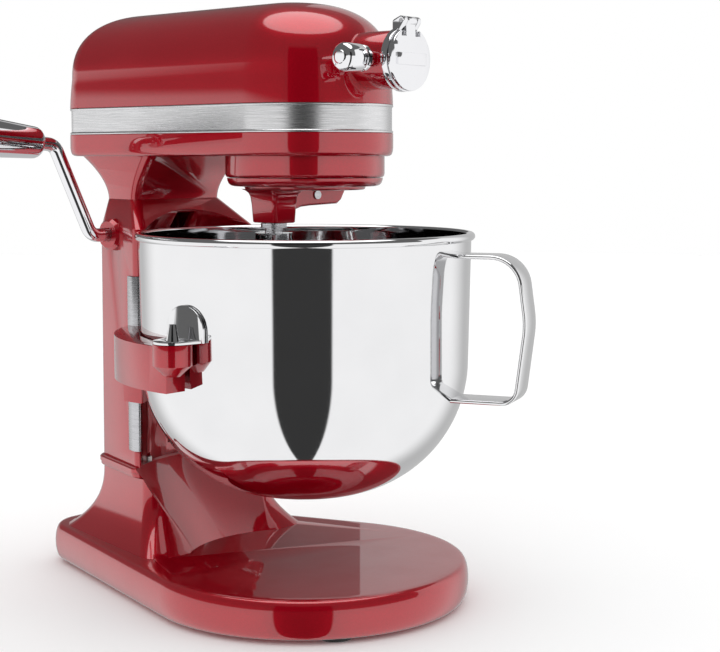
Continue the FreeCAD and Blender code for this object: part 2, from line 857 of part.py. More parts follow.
def column_casting():
    """The column: a hollow casting with a slot down its front and a flange at each end."""
    foot, shoulder, top = mm.column_foot_height, mm.column_shoulder, mm.column_top
    outside = lofted([(foot, column_outline(0)), (shoulder, column_outline(0)), (top, neck_outline(0))])
    outside = cut(outside, column_hollow(0, foot, top))
    wall = mm.casting_wall
    room = [
        (foot + mm.column_floor, column_outline(wall)),
        (shoulder, column_outline(wall)),
        (top - mm.neck_floor, neck_outline(wall)),
    ]
    inside = cut(lofted(room), column_hollow(wall, foot, top))
    slot = box(
        (-(mm.column_front + mm.column_hollow_depth + 12), -mm.slot_half_width, mm.slot_bottom),
        (-(mm.column_front - 5), mm.slot_half_width, mm.slot_top),
    )
    opening = box(
        (-(mm.neck_rear - 8), -mm.neck_opening, top - 12),
        (-(mm.neck_front + 4), mm.neck_opening, top + 1),
    )
    outer_end = -(mm.column_half_width - 12)
    shaft_place = (-mm.lever_place, outer_end, mm.lever_height)
    boss_tube = cylinder(mm.lever_bush_radius + 3, -outer_end - BOSS_INNER_END, shaft_place, "Y")
    boss = cut(common(boss_tube, lofted(room)), column_hollow(wall, foot, top))
    hole_place = (-mm.lever_place, -72, mm.lever_height)
    bush_hole = cylinder(mm.lever_bush_radius, 73 - BOSS_INNER_END, hole_place, "Y")
    bolts = [
        cylinder(mm.screw_radius, mm.column_floor, (x, y, foot)) for x, y in COLUMN_SCREWS
    ]
    neck_bolts = [
        cylinder(mm.screw_radius + mm.running_gap, 12, (x, y, top - 12)) for x, y in NECK_SCREWS
    ]
    strips = [guide_strip(side) for side in (1, -1)]
    shell = fuse(cut(outside, inside), boss)
    return cut(shell, slot, opening, bush_hole, *bolts, *neck_bolts, *strips)


# ---------------------------------------------------------------- head castings

BAND_TOP = mm.band_bottom + mm.band_height
CASE_FLOOR = mm.head_bottom + mm.shell_wall
DRUM_FLOOR = mm.drum_bottom + mm.shell_wall
MOTOR_DROP = root(
    (mm.spur_module * (mm.spur_teeth + mm.spur_pinion_teeth) / 2)
    * (mm.spur_module * (mm.spur_teeth + mm.spur_pinion_teeth) / 2)
    - mm.motor_side * mm.motor_side
)
MOTOR_HEIGHT = mm.hub_height - MOTOR_DROP
RING_SCREWS = [(33, 33), (-33, 33), (-33, -33), (33, -33)]


def neck_levels(inset):
    """The neck, from its seam with the column to the underside of the head."""
    top, rise = mm.column_top, mm.head_bottom + 1 - mm.column_top
    middle = [(x - 2, y + 0, radius) for x, y, radius in neck_outline(inset)]
    front, back = 8 - as_size(inset), 20 - as_size(inset)
    rear = mm.head_rear - 26
    wide = [(-112, 42, front), (-rear, 28, back), (-rear, -28, back), (-112, -42, front)]
    return [(top, neck_outline(inset)), (top + rise * 0.35, middle), (top + rise, wide)]


def speed_slot():
    """The slot in the mixer's left side that the speed lever slides in."""
    half = mm.speed_slot_height / 2
    return box(
        (-mm.speed_slot_rear, 50, mm.case_joint - half),
        (-mm.speed_slot_rear + mm.speed_travel + 6, 75, mm.case_joint + half),
    )


def gear_case():
    """The lower half of the head, cast in one with the neck and the drum round the planetary."""
    wall = mm.shell_wall
    tray = lofted([
        (mm.head_bottom, head_outline(2)),
        (mm.head_bottom + 5, head_outline(0)),
        (mm.band_bottom, head_outline(0)),
    ])
    rebate = prism(head_outline(mm.band_thickness), mm.band_bottom - 1, mm.case_joint)
    drum = cylinder(mm.drum_radius, mm.head_bottom + 1 - mm.drum_bottom, (0, 0, mm.drum_bottom))
    outside = fuse(tray, rebate, drum, lofted(neck_levels(0)))
    room_outline = head_outline(mm.band_thickness + wall)
    room = prism(room_outline, CASE_FLOOR, mm.case_joint + 1)
    drum_room = cylinder(mm.drum_radius - wall, CASE_FLOOR + 1 - DRUM_FLOOR, (0, 0, DRUM_FLOOR))
    neck_top = box((-230, -90, mm.head_bottom), (0, 90, 340))
    neck_bottom = box((-230, -90, 270), (0, 90, mm.column_top + mm.neck_floor))
    neck_room = cut(lofted(neck_levels(wall)), neck_top, neck_bottom)
    opening = cylinder(mm.opening_radius, 20, (0, 0, mm.drum_bottom - 10))
    neck_opening = box(
        (-(mm.neck_rear - 8), -mm.neck_opening, mm.column_top - 1),
        (-(mm.neck_front + 8), mm.neck_opening, CASE_FLOOR + 1),
    )
    web = common(
        box((-14, -70, mm.band_bottom - 1), (14, 70, mm.band_bottom + 6)),
        prism(room_outline, CASE_FLOOR, mm.case_joint),
    )
    bush_radius = mm.main_shaft_radius + mm.running_gap + mm.bush_wall
    bush_boss = cylinder(bush_radius + 3, 12, (0, 0, mm.band_bottom - 2))
    bush_hole = cylinder(bush_radius, 12, (0, 0, mm.band_bottom - 2))
    motor_start = -(mm.motor_front + mm.motor_length - 4)
    cradle = cut(
        box(
            (motor_start, mm.motor_side - 20, CASE_FLOOR - 1),
            (-(mm.motor_front + 4), mm.motor_side + 20, CASE_FLOOR + 12),
        ),
        cylinder(mm.motor_radius, mm.motor_length, (motor_start - 2, mm.motor_side, MOTOR_HEIGHT), "X"),
    )
    cord_hole = cylinder(5.5, 14, (-(mm.head_rear + 4), 0, mm.head_bottom + 8.5), "X")
    ring_holes = [cylinder(1.5, 2.5, (x, y, DRUM_FLOOR - 2.5)) for x, y in RING_SCREWS]
    neck_holes = [cylinder(mm.screw_radius, mm.neck_floor, (x, y, mm.column_top)) for x, y in NECK_SCREWS]
    shell = cut(outside, room, drum_room, neck_room, opening, neck_opening)
    shell = cut(fuse(shell, web, bush_boss, cradle), bush_hole)
    return cut(shell, cord_hole, speed_slot(), *ring_holes, *neck_holes)


def dome_levels(inset):
    """The motor housing above the band: near-upright sides under a barrel top."""
    low = BAND_TOP + mm.dome_side
    levels = [(BAND_TOP, head_outline(inset)), (low, head_outline(inset + 1.5, 1.2))]
    for angle in (20, 38, 54, 68, 80, 90):
        share = math.radians(angle)
        drawn_in = inset + 1.5 + mm.dome_spread * (1 - math.cos(share))
        height = low + (mm.dome_rise - inset) * math.sin(share)
        levels.append((height, head_outline(drawn_in, drawn_in * 0.8)))
    return levels


BORE_END = 50.0


def motor_housing():
    """The upper half of the head, with the boss and the bore of the attachment hub."""
    wall = mm.shell_wall
    skirt = prism(head_outline(mm.band_thickness), mm.case_joint, BAND_TOP + 1)
    hub_line = mm.hub_height
    boss = cylinder(mm.hub_boss_radius, mm.hub_face - 40, (40, 0, hub_line), "X")
    outside = fuse(lofted(dome_levels(as_size(0))), skirt, boss)
    skirt_room = prism(head_outline(mm.band_thickness + wall), mm.case_joint - 1, BAND_TOP + 5)
    inside = fuse(lofted(dome_levels(wall + 0)), skirt_room)
    sleeve = cylinder(mm.hub_bore_radius + 4, 24, (38, 0, hub_line), "X")
    seat = cylinder(mm.hub_bore_radius - 1, BORE_END - 20, (20, 0, hub_line), "X")
    bore = cylinder(mm.hub_bore_radius, mm.hub_face - BORE_END, (BORE_END, 0, hub_line), "X")
    knob_hole = cylinder(mm.screw_radius + mm.running_gap, 14, (mm.knob_place, -24, hub_line), "Y")
    return cut(fuse(cut(outside, inside), sleeve), seat, bore, knob_hole, speed_slot())


def trim_band():
    """The brushed band let into both halves of the head over their joint."""
    outer = prism(head_outline(0), mm.band_bottom, BAND_TOP)
    inner = prism(head_outline(mm.band_thickness), mm.band_bottom - 1, BAND_TOP + 1)
    return cut(outer, inner, speed_slot())


def drip_ring():
    """The ring under the drum that hides the edge of the planetary."""
    outer = cone(mm.drum_radius - 8, mm.drum_radius - 2.5, 6, (0, 0, mm.drum_bottom - 6))
    return cut(outer, cylinder(mm.opening_radius + 0.5, 10, (0, 0, mm.drum_bottom - 8)))


def cord_grommet():
    """The grommet of the mains inlet at the rear of the gear case."""
    spot = (-(mm.head_rear + 1.5), 0, mm.head_bottom + 8.5)
    flange = cylinder(7, 1.5, spot, "X")
    stem = cylinder(5.5, 8, spot, "X")
    return cut(fuse(flange, stem), cylinder(3.5, 10, spot, "X"))


# ---------------------------------------------------------------- attachment hub

COVER_START = mm.hub_face + mm.hub_ring_thickness + mm.seam_gap
HINGE_X = COVER_START + mm.hub_cover_thickness / 2
HINGE_Z = mm.hub_height + mm.hub_hinge_rise
LUG_REACH = 9.5


def hub_ring():
    """The bright ring on the hub, with two lugs for the cover's hinge pin."""
    face = (mm.hub_face, 0, mm.hub_height)
    ring = tube(mm.hub_ring_radius, mm.hub_bore_radius, mm.hub_ring_thickness, face, "X")
    lugs = []
    for near in (5.3, -9):
        shapes = [(HINGE_X, HINGE_Z, 3), (mm.hub_face + 2, HINGE_Z - 1, 2), (mm.hub_face + 2, HINGE_Z - 8, 2)]
        low = [(mm.hub_face + 3, HINGE_Z - 8, 2)]
        lugs.append(side_prism(draw_hull, shapes + low, near, near + 3.7))
    pin_hole = cylinder(mm.hub_pin_radius, 30, (HINGE_X, -15, HINGE_Z), "Y")
    bore = cylinder(mm.hub_bore_radius, 20, (mm.hub_face - 5, 0, mm.hub_height), "X")
    return cut(fuse(ring, *lugs), pin_hole, bore)


def hub_cover():
    """The lid of the attachment hub, which swings up about a pin above it."""
    disc_start = (COVER_START, 0, mm.hub_height)
    disc = cylinder(mm.hub_ring_radius - 0.5, mm.hub_cover_thickness, disc_start, "X")
    lug_room = box(
        (COVER_START - 1, -LUG_REACH, mm.hub_height + 15),
        (COVER_START + mm.hub_cover_thickness + 1, LUG_REACH, HINGE_Z),
    )
    bar = box(
        (COVER_START + mm.hub_cover_thickness - 1, -15, mm.hub_height - 4),
        (COVER_START + mm.hub_cover_thickness + 1.5, 15, mm.hub_height + 4),
    )
    tab = box((COVER_START, -5, mm.hub_height + 15), (COVER_START + mm.hub_cover_thickness, 5, HINGE_Z))
    knuckle = cylinder(3, 10, (HINGE_X, -5, HINGE_Z), "Y")
    hole = cylinder(mm.hub_pin_radius + mm.running_gap, 14, (HINGE_X, -7, HINGE_Z), "Y")
    return cut(fuse(cut(disc, lug_room), bar, tab, knuckle), hole)


def attachment_knob():
    """The thumbscrew that clamps an attachment in the hub."""
    spot = (mm.knob_place, -mm.knob_start, mm.hub_height)
    head = cylinder(mm.knob_radius, mm.knob_length, spot, "-Y")
    collar = cylinder(6, 4, spot, "Y")
    screw_part = cylinder(mm.screw_radius, mm.knob_start - mm.hub_bore_radius - 0.3, spot, "Y")
    return fuse(head, collar, screw_part)


def hub_spindle():
    """The hub's driven shaft, with the square socket for an attachment."""
    gear_end = mm.bevel_module * mm.bevel_teeth / 2 + 7
    thin = cylinder(5, 20, (gear_end - 18, 0, mm.hub_height), "X")
    spindle_end = BORE_END - 0.5
    thick = cylinder(mm.hub_spindle_radius, spindle_end - gear_end, (gear_end, 0, mm.hub_height), "X")
    half = mm.socket_side / 2
    floor = gear_end + 1.5
    socket = box((floor, -half, mm.hub_height - half), (spindle_end + 1, half, mm.hub_height + half))
    return cut(fuse(thin, thick), socket)


def hub_bearing():
    """The sleeve that the hub's shaft turns in."""
    inner = mm.hub_spindle_radius + mm.running_gap
    start = mm.bevel_module * mm.bevel_teeth / 2 + 9
    return tube(mm.hub_bore_radius - 1, inner, 9, (start, 0, mm.hub_height), "X")


# ---------------------------------------------------------------- planetary drive

ECCENTRIC = mm.planet_module * (mm.ring_teeth - mm.planet_teeth) / 2
PLANETARY_TOP = DRUM_FLOOR - 1
POST_BORE = mm.agitator_radius + mm.running_gap + mm.bush_wall


def at_planet(thing):
    """Turn a piece from the +X side of the axis to where the planet stands."""
    return turned_about_axis(thing, mm.planet_angle)


def planetary_housing():
    """The turning head under the drum: a disc, the agitator's post and a balancing arm."""
    disc = cylinder(mm.planetary_radius, PLANETARY_TOP - mm.planetary_bottom, (0, 0, mm.planetary_bottom))
    post_rise = mm.planetary_bottom - mm.post_bottom
    post = cone(mm.post_radius, mm.post_radius + 2.5, post_rise, (ECCENTRIC, 0, mm.post_bottom))
    arm_low = mm.roll_pin_height - 8
    arm = box((-24, -13, arm_low), (ECCENTRIC, 13, mm.planetary_bottom + 1))
    shaft_hole = cylinder(mm.main_shaft_radius, 40, (0, 0, arm_low + 3))
    post_hole = cylinder(POST_BORE, 50, (ECCENTRIC, 0, mm.post_bottom - 5))
    pin_hole = cylinder(mm.roll_pin_radius, 40, (0, -20, mm.roll_pin_height), "Y")
    return at_planet(cut(fuse(disc, post, arm), shaft_hole, post_hole, pin_hole))


def roll_pin():
    """The pin that locks the planetary to the main shaft."""
    return at_planet(cylinder(mm.roll_pin_radius, 28, (0, -14, mm.roll_pin_height), "Y"))


def main_shaft():
    """The upright shaft from the large bevel gear down to the planetary."""
    start = mm.roll_pin_height - 5
    shaft = cylinder(mm.main_shaft_radius, mm.hub_height - 4 - start, (0, 0, start))
    pin_hole = cylinder(mm.roll_pin_radius, 20, (0, -10, mm.roll_pin_height), "Y")
    return at_planet(cut(shaft, pin_hole))


def main_shaft_bush():
    """The bush in the gear case that the main shaft turns in."""
    inner = mm.main_shaft_radius + mm.running_gap
    return tube(inner + mm.bush_wall, inner, 12, (0, 0, mm.band_bottom - 2))


def agitator_bushes():
    """The two bushes of the agitator shaft, pressed into the planetary's post."""
    inner = mm.agitator_radius + mm.running_gap
    lower = tube(POST_BORE, inner, 10, (ECCENTRIC, 0, mm.post_bottom))
    upper = tube(POST_BORE, inner, 10, (ECCENTRIC, 0, PLANETARY_TOP - 10))
    return at_planet(group(lower, upper))


def agitator_shaft():
    """The shaft that carries the tool, with a collar under the post and a stub for its pinion."""
    start = mm.agitator_bottom
    length = PLANETARY_TOP + 1 - start
    body = cylinder(mm.agitator_radius, length, (ECCENTRIC, 0, start))
    stub = cylinder(mm.agitator_radius - 1.5, mm.ring_gear_height, (ECCENTRIC, 0, start + length))
    collar = cylinder(mm.agitator_radius + 2.75, 3, (ECCENTRIC, 0, mm.post_bottom - 3.4))
    pin_hole = cylinder(mm.agitator_pin_radius, 20, (ECCENTRIC, -10, mm.agitator_pin_height), "Y")
    return at_planet(cut(fuse(body, stub, collar), pin_hole))


def shaft_pin():
    """The cross pin that drives the tool."""
    length = mm.agitator_pin_length
    spot = (ECCENTRIC, -length / 2, mm.agitator_pin_height)
    return at_planet(cylinder(mm.agitator_pin_radius, length, spot, "Y"))


def agitator_pinion():
    """The pinion that rolls round inside the ring gear."""
    height = float(mm.ring_gear_height) - 1
    bore = float(mm.agitator_radius) - 1.5
    gear = spur_gear(mm.planet_module.value, int(mm.planet_teeth.value), height, bore)
    return at_planet(made(gear, (ECCENTRIC, 0, PLANETARY_TOP + 1)))


def ring_gear():
    """The fixed internal gear on the floor of the drum."""
    height = float(mm.ring_gear_height)
    gear = inner_gear(mm.planet_module.value, int(mm.ring_teeth.value), height, float(mm.ring_gear_radius))
    holes = [cylinder(1.5, mm.ring_gear_height + 2, (x, y, DRUM_FLOOR - 1)) for x, y in RING_SCREWS]
    return cut(at_planet(made(gear, (0, 0, DRUM_FLOOR))), *holes)


def ring_gear_screws():
    """Four screws that hold the ring gear down."""
    top = DRUM_FLOOR + mm.ring_gear_height
    made_screws = []
    for x, y in RING_SCREWS:
        shank = cylinder(1.5, mm.ring_gear_height + 2.5, (x, y, DRUM_FLOOR - 2.5))
        made_screws.append(fuse(shank, cylinder(2.8, 2.2, (x, y, top))))
    return group(*made_screws)


# ---------------------------------------------------------------- gear train and motor

SPUR_START = -76.0
SPUR_ANGLE = math.degrees(math.atan2(mm.motor_side.value, MOTOR_DROP.value))


def centre_gear():
    """The large bevel gear on the main shaft, driven from behind and driving the hub in front."""
    gear = bevel_gear(
        mm.bevel_module.value, int(mm.bevel_teeth.value), int(mm.bevel_pinion_teeth.value),
        float(mm.bevel_face), float(mm.main_shaft_radius), 6.0,
    )
    return made(gear, (0, 0, mm.hub_height))


def bevel_pinion(bore):
    """A small bevel gear that meshes with the large one."""
    return bevel_gear(
        mm.bevel_module.value, int(mm.bevel_pinion_teeth.value), int(mm.bevel_teeth.value),
        float(mm.bevel_face), bore, 4.0, 0.5,
    )


def layshaft():
    """The shaft behind the large bevel gear, cut in one with its bevel pinion."""
    length = 60.0
    shaft = cylinder(mm.layshaft_radius, length, (-20 - length, 0, mm.hub_height), "X")
    return fuse(shaft, made(bevel_pinion(1.0), (0, 0, mm.hub_height), "X"))


def layshaft_gear():
    """The large spur gear that the motor drives."""
    gear = spur_gear(
        mm.spur_module.value, int(mm.spur_teeth.value), float(mm.spur_width), float(mm.layshaft_radius)
    )
    return made(turned_shape(gear, SPUR_ANGLE), (SPUR_START, 0, mm.hub_height), "X")


def motor_pinion():
    """The small spur gear on the motor's shaft."""
    teeth = int(mm.spur_pinion_teeth.value)
    gear = spur_gear(mm.spur_module.value, teeth, float(mm.spur_width), 2.5, 0.5)
    return made(turned_shape(gear, SPUR_ANGLE), (SPUR_START, mm.motor_side, MOTOR_HEIGHT), "X")


def gear_bracket():
    """The upright bracket on the case floor that carries the layshaft's bearings."""
    post = box((-62, -20, CASE_FLOOR), (-48, 20, mm.hub_height + 14))
    return cut(post, cylinder(mm.layshaft_radius + mm.bearing_wall, 20, (-65, 0, mm.hub_height), "X"))


def layshaft_bearings():
    """The two bearings of the layshaft."""
    inner = mm.layshaft_radius + mm.running_gap
    outer = mm.layshaft_radius + mm.bearing_wall
    return group(*[tube(outer, inner, 5, (x, 0, mm.hub_height), "X") for x in (-62, -53)])


def motor_tube(outer, inner, start, length):
    """A ring round the motor's axis, from a distance behind the bowl's axis."""
    return tube(outer, inner, length, (-as_size(start), mm.motor_side, MOTOR_HEIGHT), "X")


def motor_stator():
    """The motor's fixed ring of magnets and windings."""
    rear = mm.motor_front + mm.motor_length
    return motor_tube(mm.motor_radius, mm.motor_bore_radius, rear, mm.motor_length)


def motor_plate(start):
    """An end plate of the motor, with the seat of a bearing."""
    seat = mm.rotor_shaft_radius + mm.bearing_wall
    return motor_tube(mm.motor_radius, seat, start, mm.motor_plate)


def motor_bearings():
    """The two bearings of the motor's shaft, one in each end plate."""
    inner = mm.rotor_shaft_radius + mm.running_gap
    outer = mm.rotor_shaft_radius + mm.bearing_wall
    starts = (mm.motor_front, mm.motor_front + mm.motor_length + mm.motor_plate)
    return group(*[motor_tube(outer, inner, start, mm.motor_plate) for start in starts])


def rotor_shaft():
    """The motor's shaft, thinner where it carries the pinion."""
    rear = mm.motor_front + mm.motor_length + 24
    spot = (-rear, mm.motor_side, MOTOR_HEIGHT)
    thick = cylinder(mm.rotor_shaft_radius, rear - 80, spot, "X")
    thin = cylinder(2.5, 14, (-82, mm.motor_side, MOTOR_HEIGHT), "X")
    return fuse(thick, thin)


def rotor_core():
    """The turning iron core and windings of the motor."""
    rear = mm.motor_front + mm.motor_length - 5
    return motor_tube(mm.rotor_radius, mm.rotor_shaft_radius, rear, mm.motor_length - 10)


def cooling_fan():
    """The fan behind the motor."""
    start = mm.motor_front + mm.motor_length + 20
    spot = (-start, mm.motor_side, MOTOR_HEIGHT)
    parts = [cylinder(8, 10, spot, "X"), cylinder(mm.fan_radius, 1.6, spot, "X")]
    blade_count = 8
    for blade in range(blade_count):
        angle = math.radians(360 * blade / blade_count)
        wing = bind(doc.addObject("Part::Box", "Blade"), Length=10, Width=1.6, Height=mm.fan_radius - 6)
        turn = Rotation(Vector(1, 0, 0), math.degrees(angle))
        offset = turn.multVec(Vector(0, -0.8, 5.5))
        at = (-start, mm.motor_side + offset.y, MOTOR_HEIGHT + offset.z)
        parts.append(place(wing, at, turn))
    hole = cylinder(mm.rotor_shaft_radius, 14, (-start - 2, mm.motor_side, MOTOR_HEIGHT), "X")
    return cut(fuse(*parts), hole)


def control_board():
    """The speed control's circuit board, with its heat sink and two capacitors."""
    side = -44
    board = box((-165, side - 1.6, CASE_FLOOR), (-95, side, CASE_FLOOR + 44))
    sink = box((-160, side, CASE_FLOOR + 18), (-130, side + 12, CASE_FLOOR + 40))
    parts = [cylinder(6, 16, (x, side, CASE_FLOOR + 12), "Y") for x in (-120, -105)]
    return fuse(board, sink, *parts)


def speed_plate():
    """The plate behind the speed lever's slot, which the slider runs against."""
    return box((-84, 44, CASE_FLOOR), (-16, 46, mm.case_joint + 8))


SPEED_REST = -mm.speed_slot_rear + 3


def speed_slider():
    """The slide of the speed lever, inside the head, with its stem through the slot."""
    block = box((SPEED_REST - 7, 46.5, mm.case_joint - 5), (SPEED_REST + 7, 53.5, mm.case_joint + 5))
    stem = box((SPEED_REST - 2, 53, mm.case_joint - 2), (SPEED_REST + 2, 66, mm.case_joint + 2))
    return fuse(block, stem)


def speed_knob():
    """The knob of the speed lever on the mixer's left side."""
    knob = cylinder(5.5, 10, (SPEED_REST, 63, mm.case_joint), "Y")
    stem = box((SPEED_REST - 2, 50, mm.case_joint - 2), (SPEED_REST + 2, 66, mm.case_joint + 2))
    return cut(knob, stem)


# ---------------------------------------------------------------- bowl


def bowl_section(inset):
    """Half of the bowl's section up to its straight wall, as (radius, height) points."""
    curve = mm.bowl_curve_radius - inset
    floor = mm.bowl_floor + inset
    drop = mm.bowl_curve_height - floor
    flat = mm.bowl_curve_centre + root(curve * curve - drop * drop)
    return flat, floor, curve, mm.bowl_curve_centre + curve


def bowl():
    """The steel bowl: flat bottom, round belly, near-straight wall and a rolled rim."""
    flat, floor, curve, side = bowl_section(as_size(0))
    inner_flat, inner_floor, inner_curve, inner_side = bowl_section(mm.bowl_wall)
    mouth, top, bead = mm.bowl_mouth_radius, mm.bowl_top, mm.rim_bead_radius
    return spun([
        (0, floor),
        (flat, floor, curve),
        (side, mm.bowl_curve_height),
        (mouth, top - bead * 2, bead),
        (mouth + bead, top - bead, bead),
        (mouth, top),
        (mouth - mm.bowl_wall, top),
        (inner_side, mm.bowl_curve_height, -inner_curve),
        (inner_flat, inner_floor),
        (0, inner_floor),
    ])


def bowl_solid():
    """The bowl's outer shape without its rim, filled, for trimming what is welded to it."""
    flat, floor, curve, side = bowl_section(as_size(0))
    mouth, top, bead = mm.bowl_mouth_radius, mm.bowl_top, mm.rim_bead_radius
    return spun([
        (0, floor),
        (flat, floor, curve),
        (side, mm.bowl_curve_height),
        (mouth, top - bead * 2),
        (0, top - bead * 2),
    ])


def bowl_handle():
    """The strap handle, welded to the bowl at both ends."""
    reach, corner, strap = mm.handle_reach, mm.handle_corner, mm.handle_strap
    loops = []
    for inset in (as_size(0), strap):
        radius = corner - inset
        loops.append([
            (96, mm.handle_bottom + inset + 2, 2),
            (reach - corner, mm.handle_bottom + corner, radius),
            (reach - corner, mm.handle_top - corner, radius),
            (96, mm.handle_top - inset - 2, 2),
        ])
    half = mm.handle_width / 2
    outer = side_prism(draw_hull, loops[0], -half, half)
    inner = side_prism(draw_hull, loops[1], -half - 1, half + 1)
    return turned_about_axis(cut(outer, inner, bowl_solid()), mm.handle_angle)


FLANGE_BOTTOM = mm.cup_top + mm.seam_gap


def bowl_bracket(side):
    """One bracket on the bowl: an arched plate on the wall and a flange that drops over a pin."""
    half, height = mm.bracket_half_width, mm.bracket_height
    plate_radius = mm.bowl_mouth_radius + 1.5
    band = cut(cylinder(plate_radius, height + 2, (0, 0, FLANGE_BOTTOM)), bowl_solid())
    near, far = (100, 130) if side > 0 else (-130, -100)
    arch_height = FLANGE_BOTTOM + height - half
    arch = cylinder(half, 30, (0, near, arch_height), "Y")
    foot = box((-half, near, FLANGE_BOTTOM), (half, far, arch_height))
    wall_edge = side * (mm.cup_place - 15)
    corners = [(14, wall_edge, 2), (0, side * mm.cup_place, mm.flange_radius), (-14, wall_edge, 2)]
    flange = prism(corners[::side], FLANGE_BOTTOM, FLANGE_BOTTOM + mm.flange_thickness)
    hole = cylinder(mm.pin_radius + mm.seam_gap, 10, (0, side * mm.cup_place, FLANGE_BOTTOM - 4))
    return cut(fuse(common(band, fuse(arch, foot)), cut(flange, bowl_solid())), hole)


def bowl_latch_stud():
    """The stud at the back of the bowl that the latch spring holds."""
    length = mm.support_inner + 6.2 - 114
    return cut(cylinder(3, length, (-114, 0, mm.cup_top + 3), "-X"), bowl_solid())


# ---------------------------------------------------------------- bowl support


def bowl_support():
    """The cradle that slides on the column: a saddle, two arms round the bowl and two cups."""
    inner, outer, top = mm.support_inner, mm.support_outer, mm.support_top
    bottom = top - mm.support_height
    rear_half = box((-140, -140, bottom), (0, 140, top))
    arms = common(cylinder(outer, mm.support_height, (0, 0, bottom)), rear_half)
    saddle = common(
        cylinder(outer, top - mm.slider_bottom, (0, 0, mm.slider_bottom)),
        box((-140, -mm.column_half_width - 9, mm.slider_bottom), (-96, mm.column_half_width + 9, top)),
    )
    cup_bottom = mm.cup_top - mm.cup_depth
    cups = []
    for side in (1, -1):
        spot = side * mm.cup_place
        cups.append(cylinder(mm.cup_radius, mm.cup_depth - 7, (0, spot, cup_bottom + 7)))
        cups.append(cone(mm.cup_tip_radius, mm.cup_radius, 7, (0, spot, cup_bottom)))
    stems = [cylinder(3, 10, (0, side * mm.cup_place, mm.cup_top - 10)) for side in (1, -1)]
    gap = mm.seam_gap
    keep_out = cut(
        prism(column_outline(-(mm.guide_proud + gap)), mm.slider_bottom - 5, top + 5),
        column_hollow(-gap - 0.1, mm.slider_bottom - 5, top + 100),
    )
    groove_front = inner + 6.6
    groove = box((-140, -7.5, mm.slider_bottom - 1), (-groove_front, 7.5, top + 1))
    bowl_room = cylinder(inner, 80, (0, 0, mm.slider_bottom - 5))
    lug_top = top - mm.lug_drop
    lug_half = mm.slot_half_width - 1.8
    fork_end = -(mm.lever_place + mm.crank_radius + 4)
    lug = box((fork_end, -lug_half, lug_top - mm.lug_thickness), (-groove_front, lug_half, lug_top))
    rod_half = mm.lift_rod_radius + 0.6
    rod_room = box((fork_end - 1, -rod_half, lug_top - 20), (-mm.lever_place - 1, rod_half, lug_top + 2))
    shape = cut(fuse(arms, saddle, *cups), keep_out, groove, bowl_room, *stems)
    return fuse(shape, cut(lug, rod_room))


def locating_pins():
    """Two tapered pins on the support, which the bowl's flanges drop over."""
    pins = []
    for side in (1, -1):
        spot = side * mm.cup_place
        taper = cone(mm.pin_radius, mm.pin_tip_radius, mm.pin_height, (0, spot, mm.cup_top))
        pins.append(fuse(taper, cylinder(3, 10, (0, spot, mm.cup_top - 10))))
    return group(*pins)


def bowl_latch_spring():
    """The leaf spring behind the bowl."""
    face = mm.support_inner + 6.6
    return box((-(face + 0.8), -6.5, mm.support_top - 14), (-face, 6.5, mm.support_top + 11))


# ---------------------------------------------------------------- lift lever, crank and rod

CRANK_X = -mm.lever_place - mm.crank_radius * cosine(mm.crank_half_turn)
CRANK_Z = mm.lever_height + mm.crank_radius * sine(mm.crank_half_turn)
CRANK_FACE = 4
EYE_RADIUS = 4.5
GRIP_TILT = 5.0
HOOK_TWIST = 55
HOOK_START = 60
HOOK_SWEEP = 350


def lever_shaft():
    """The short cross shaft of the lift lever, which ends in the crank."""
    return cylinder(mm.lever_shaft_radius, 60 - CRANK_FACE, (-mm.lever_place, -60, mm.lever_height), "Y")


def lever_bush():
    """The long bush of the lever's shaft, in the right side of the column."""
    inner = mm.lever_shaft_radius + mm.running_gap
    start, end = -52.5, -(BOSS_INNER_END - 1.5)
    return tube(mm.lever_bush_radius, inner, end - start, (-mm.lever_place, start, mm.lever_height), "Y")


def grip_way():
    """The direction of the grip, outwards and a little up."""
    tilt = math.radians(GRIP_TILT)
    return Vector(0, -math.cos(tilt), math.sin(tilt))


def grip_start():
    """Where the lever's rod meets its grip."""
    elbow = Vector(-(mm.lever_place + mm.lever_back).value, -(mm.lever_side + mm.lever_out).value, 0)
    elbow.z = (mm.lever_height + mm.lever_rise).value
    return elbow, elbow + grip_way() * 14


def lever_arm():
    """The bent steel rod of the lift lever."""
    elbow, end = grip_start()
    start = Vector(-mm.lever_place.value, -60, mm.lever_height.value)
    points = [start, Vector(start.x, -mm.lever_side.value - 2, start.z), elbow, end]
    return made(bent_rod(points, float(mm.lever_shaft_radius), 14))


def lever_grip():
    """The tapered metal grip of the lift lever."""
    end = grip_start()[1]
    at = (end.x, end.y, end.z)
    turn = Rotation(Vector(1, 0, 0), 90 - GRIP_TILT)
    return cone(mm.grip_inner_radius, mm.grip_outer_radius, mm.grip_length, at, turn)


def crank_arm():
    """The crank on the inner end of the lever's shaft, with its headed pin."""
    outer, inner = -CRANK_FACE - mm.crank_thickness, as_size(-CRANK_FACE)
    web = side_prism(
        draw_hull,
        [(-mm.lever_place, mm.lever_height, 9), (CRANK_X, CRANK_Z, EYE_RADIUS)],
        outer,
        inner,
    )
    pin = cylinder(mm.crank_pin_radius, CRANK_FACE * 2 + 1.5, (CRANK_X, -CRANK_FACE, CRANK_Z), "Y")
    head = cylinder(mm.crank_pin_radius + 1.3, 1.5, (CRANK_X, CRANK_FACE, CRANK_Z), "Y")
    shaft_hole = cylinder(mm.lever_shaft_radius, 12, (-mm.lever_place, outer - 1, mm.lever_height), "Y")
    return cut(fuse(web, pin, head), shaft_hole)


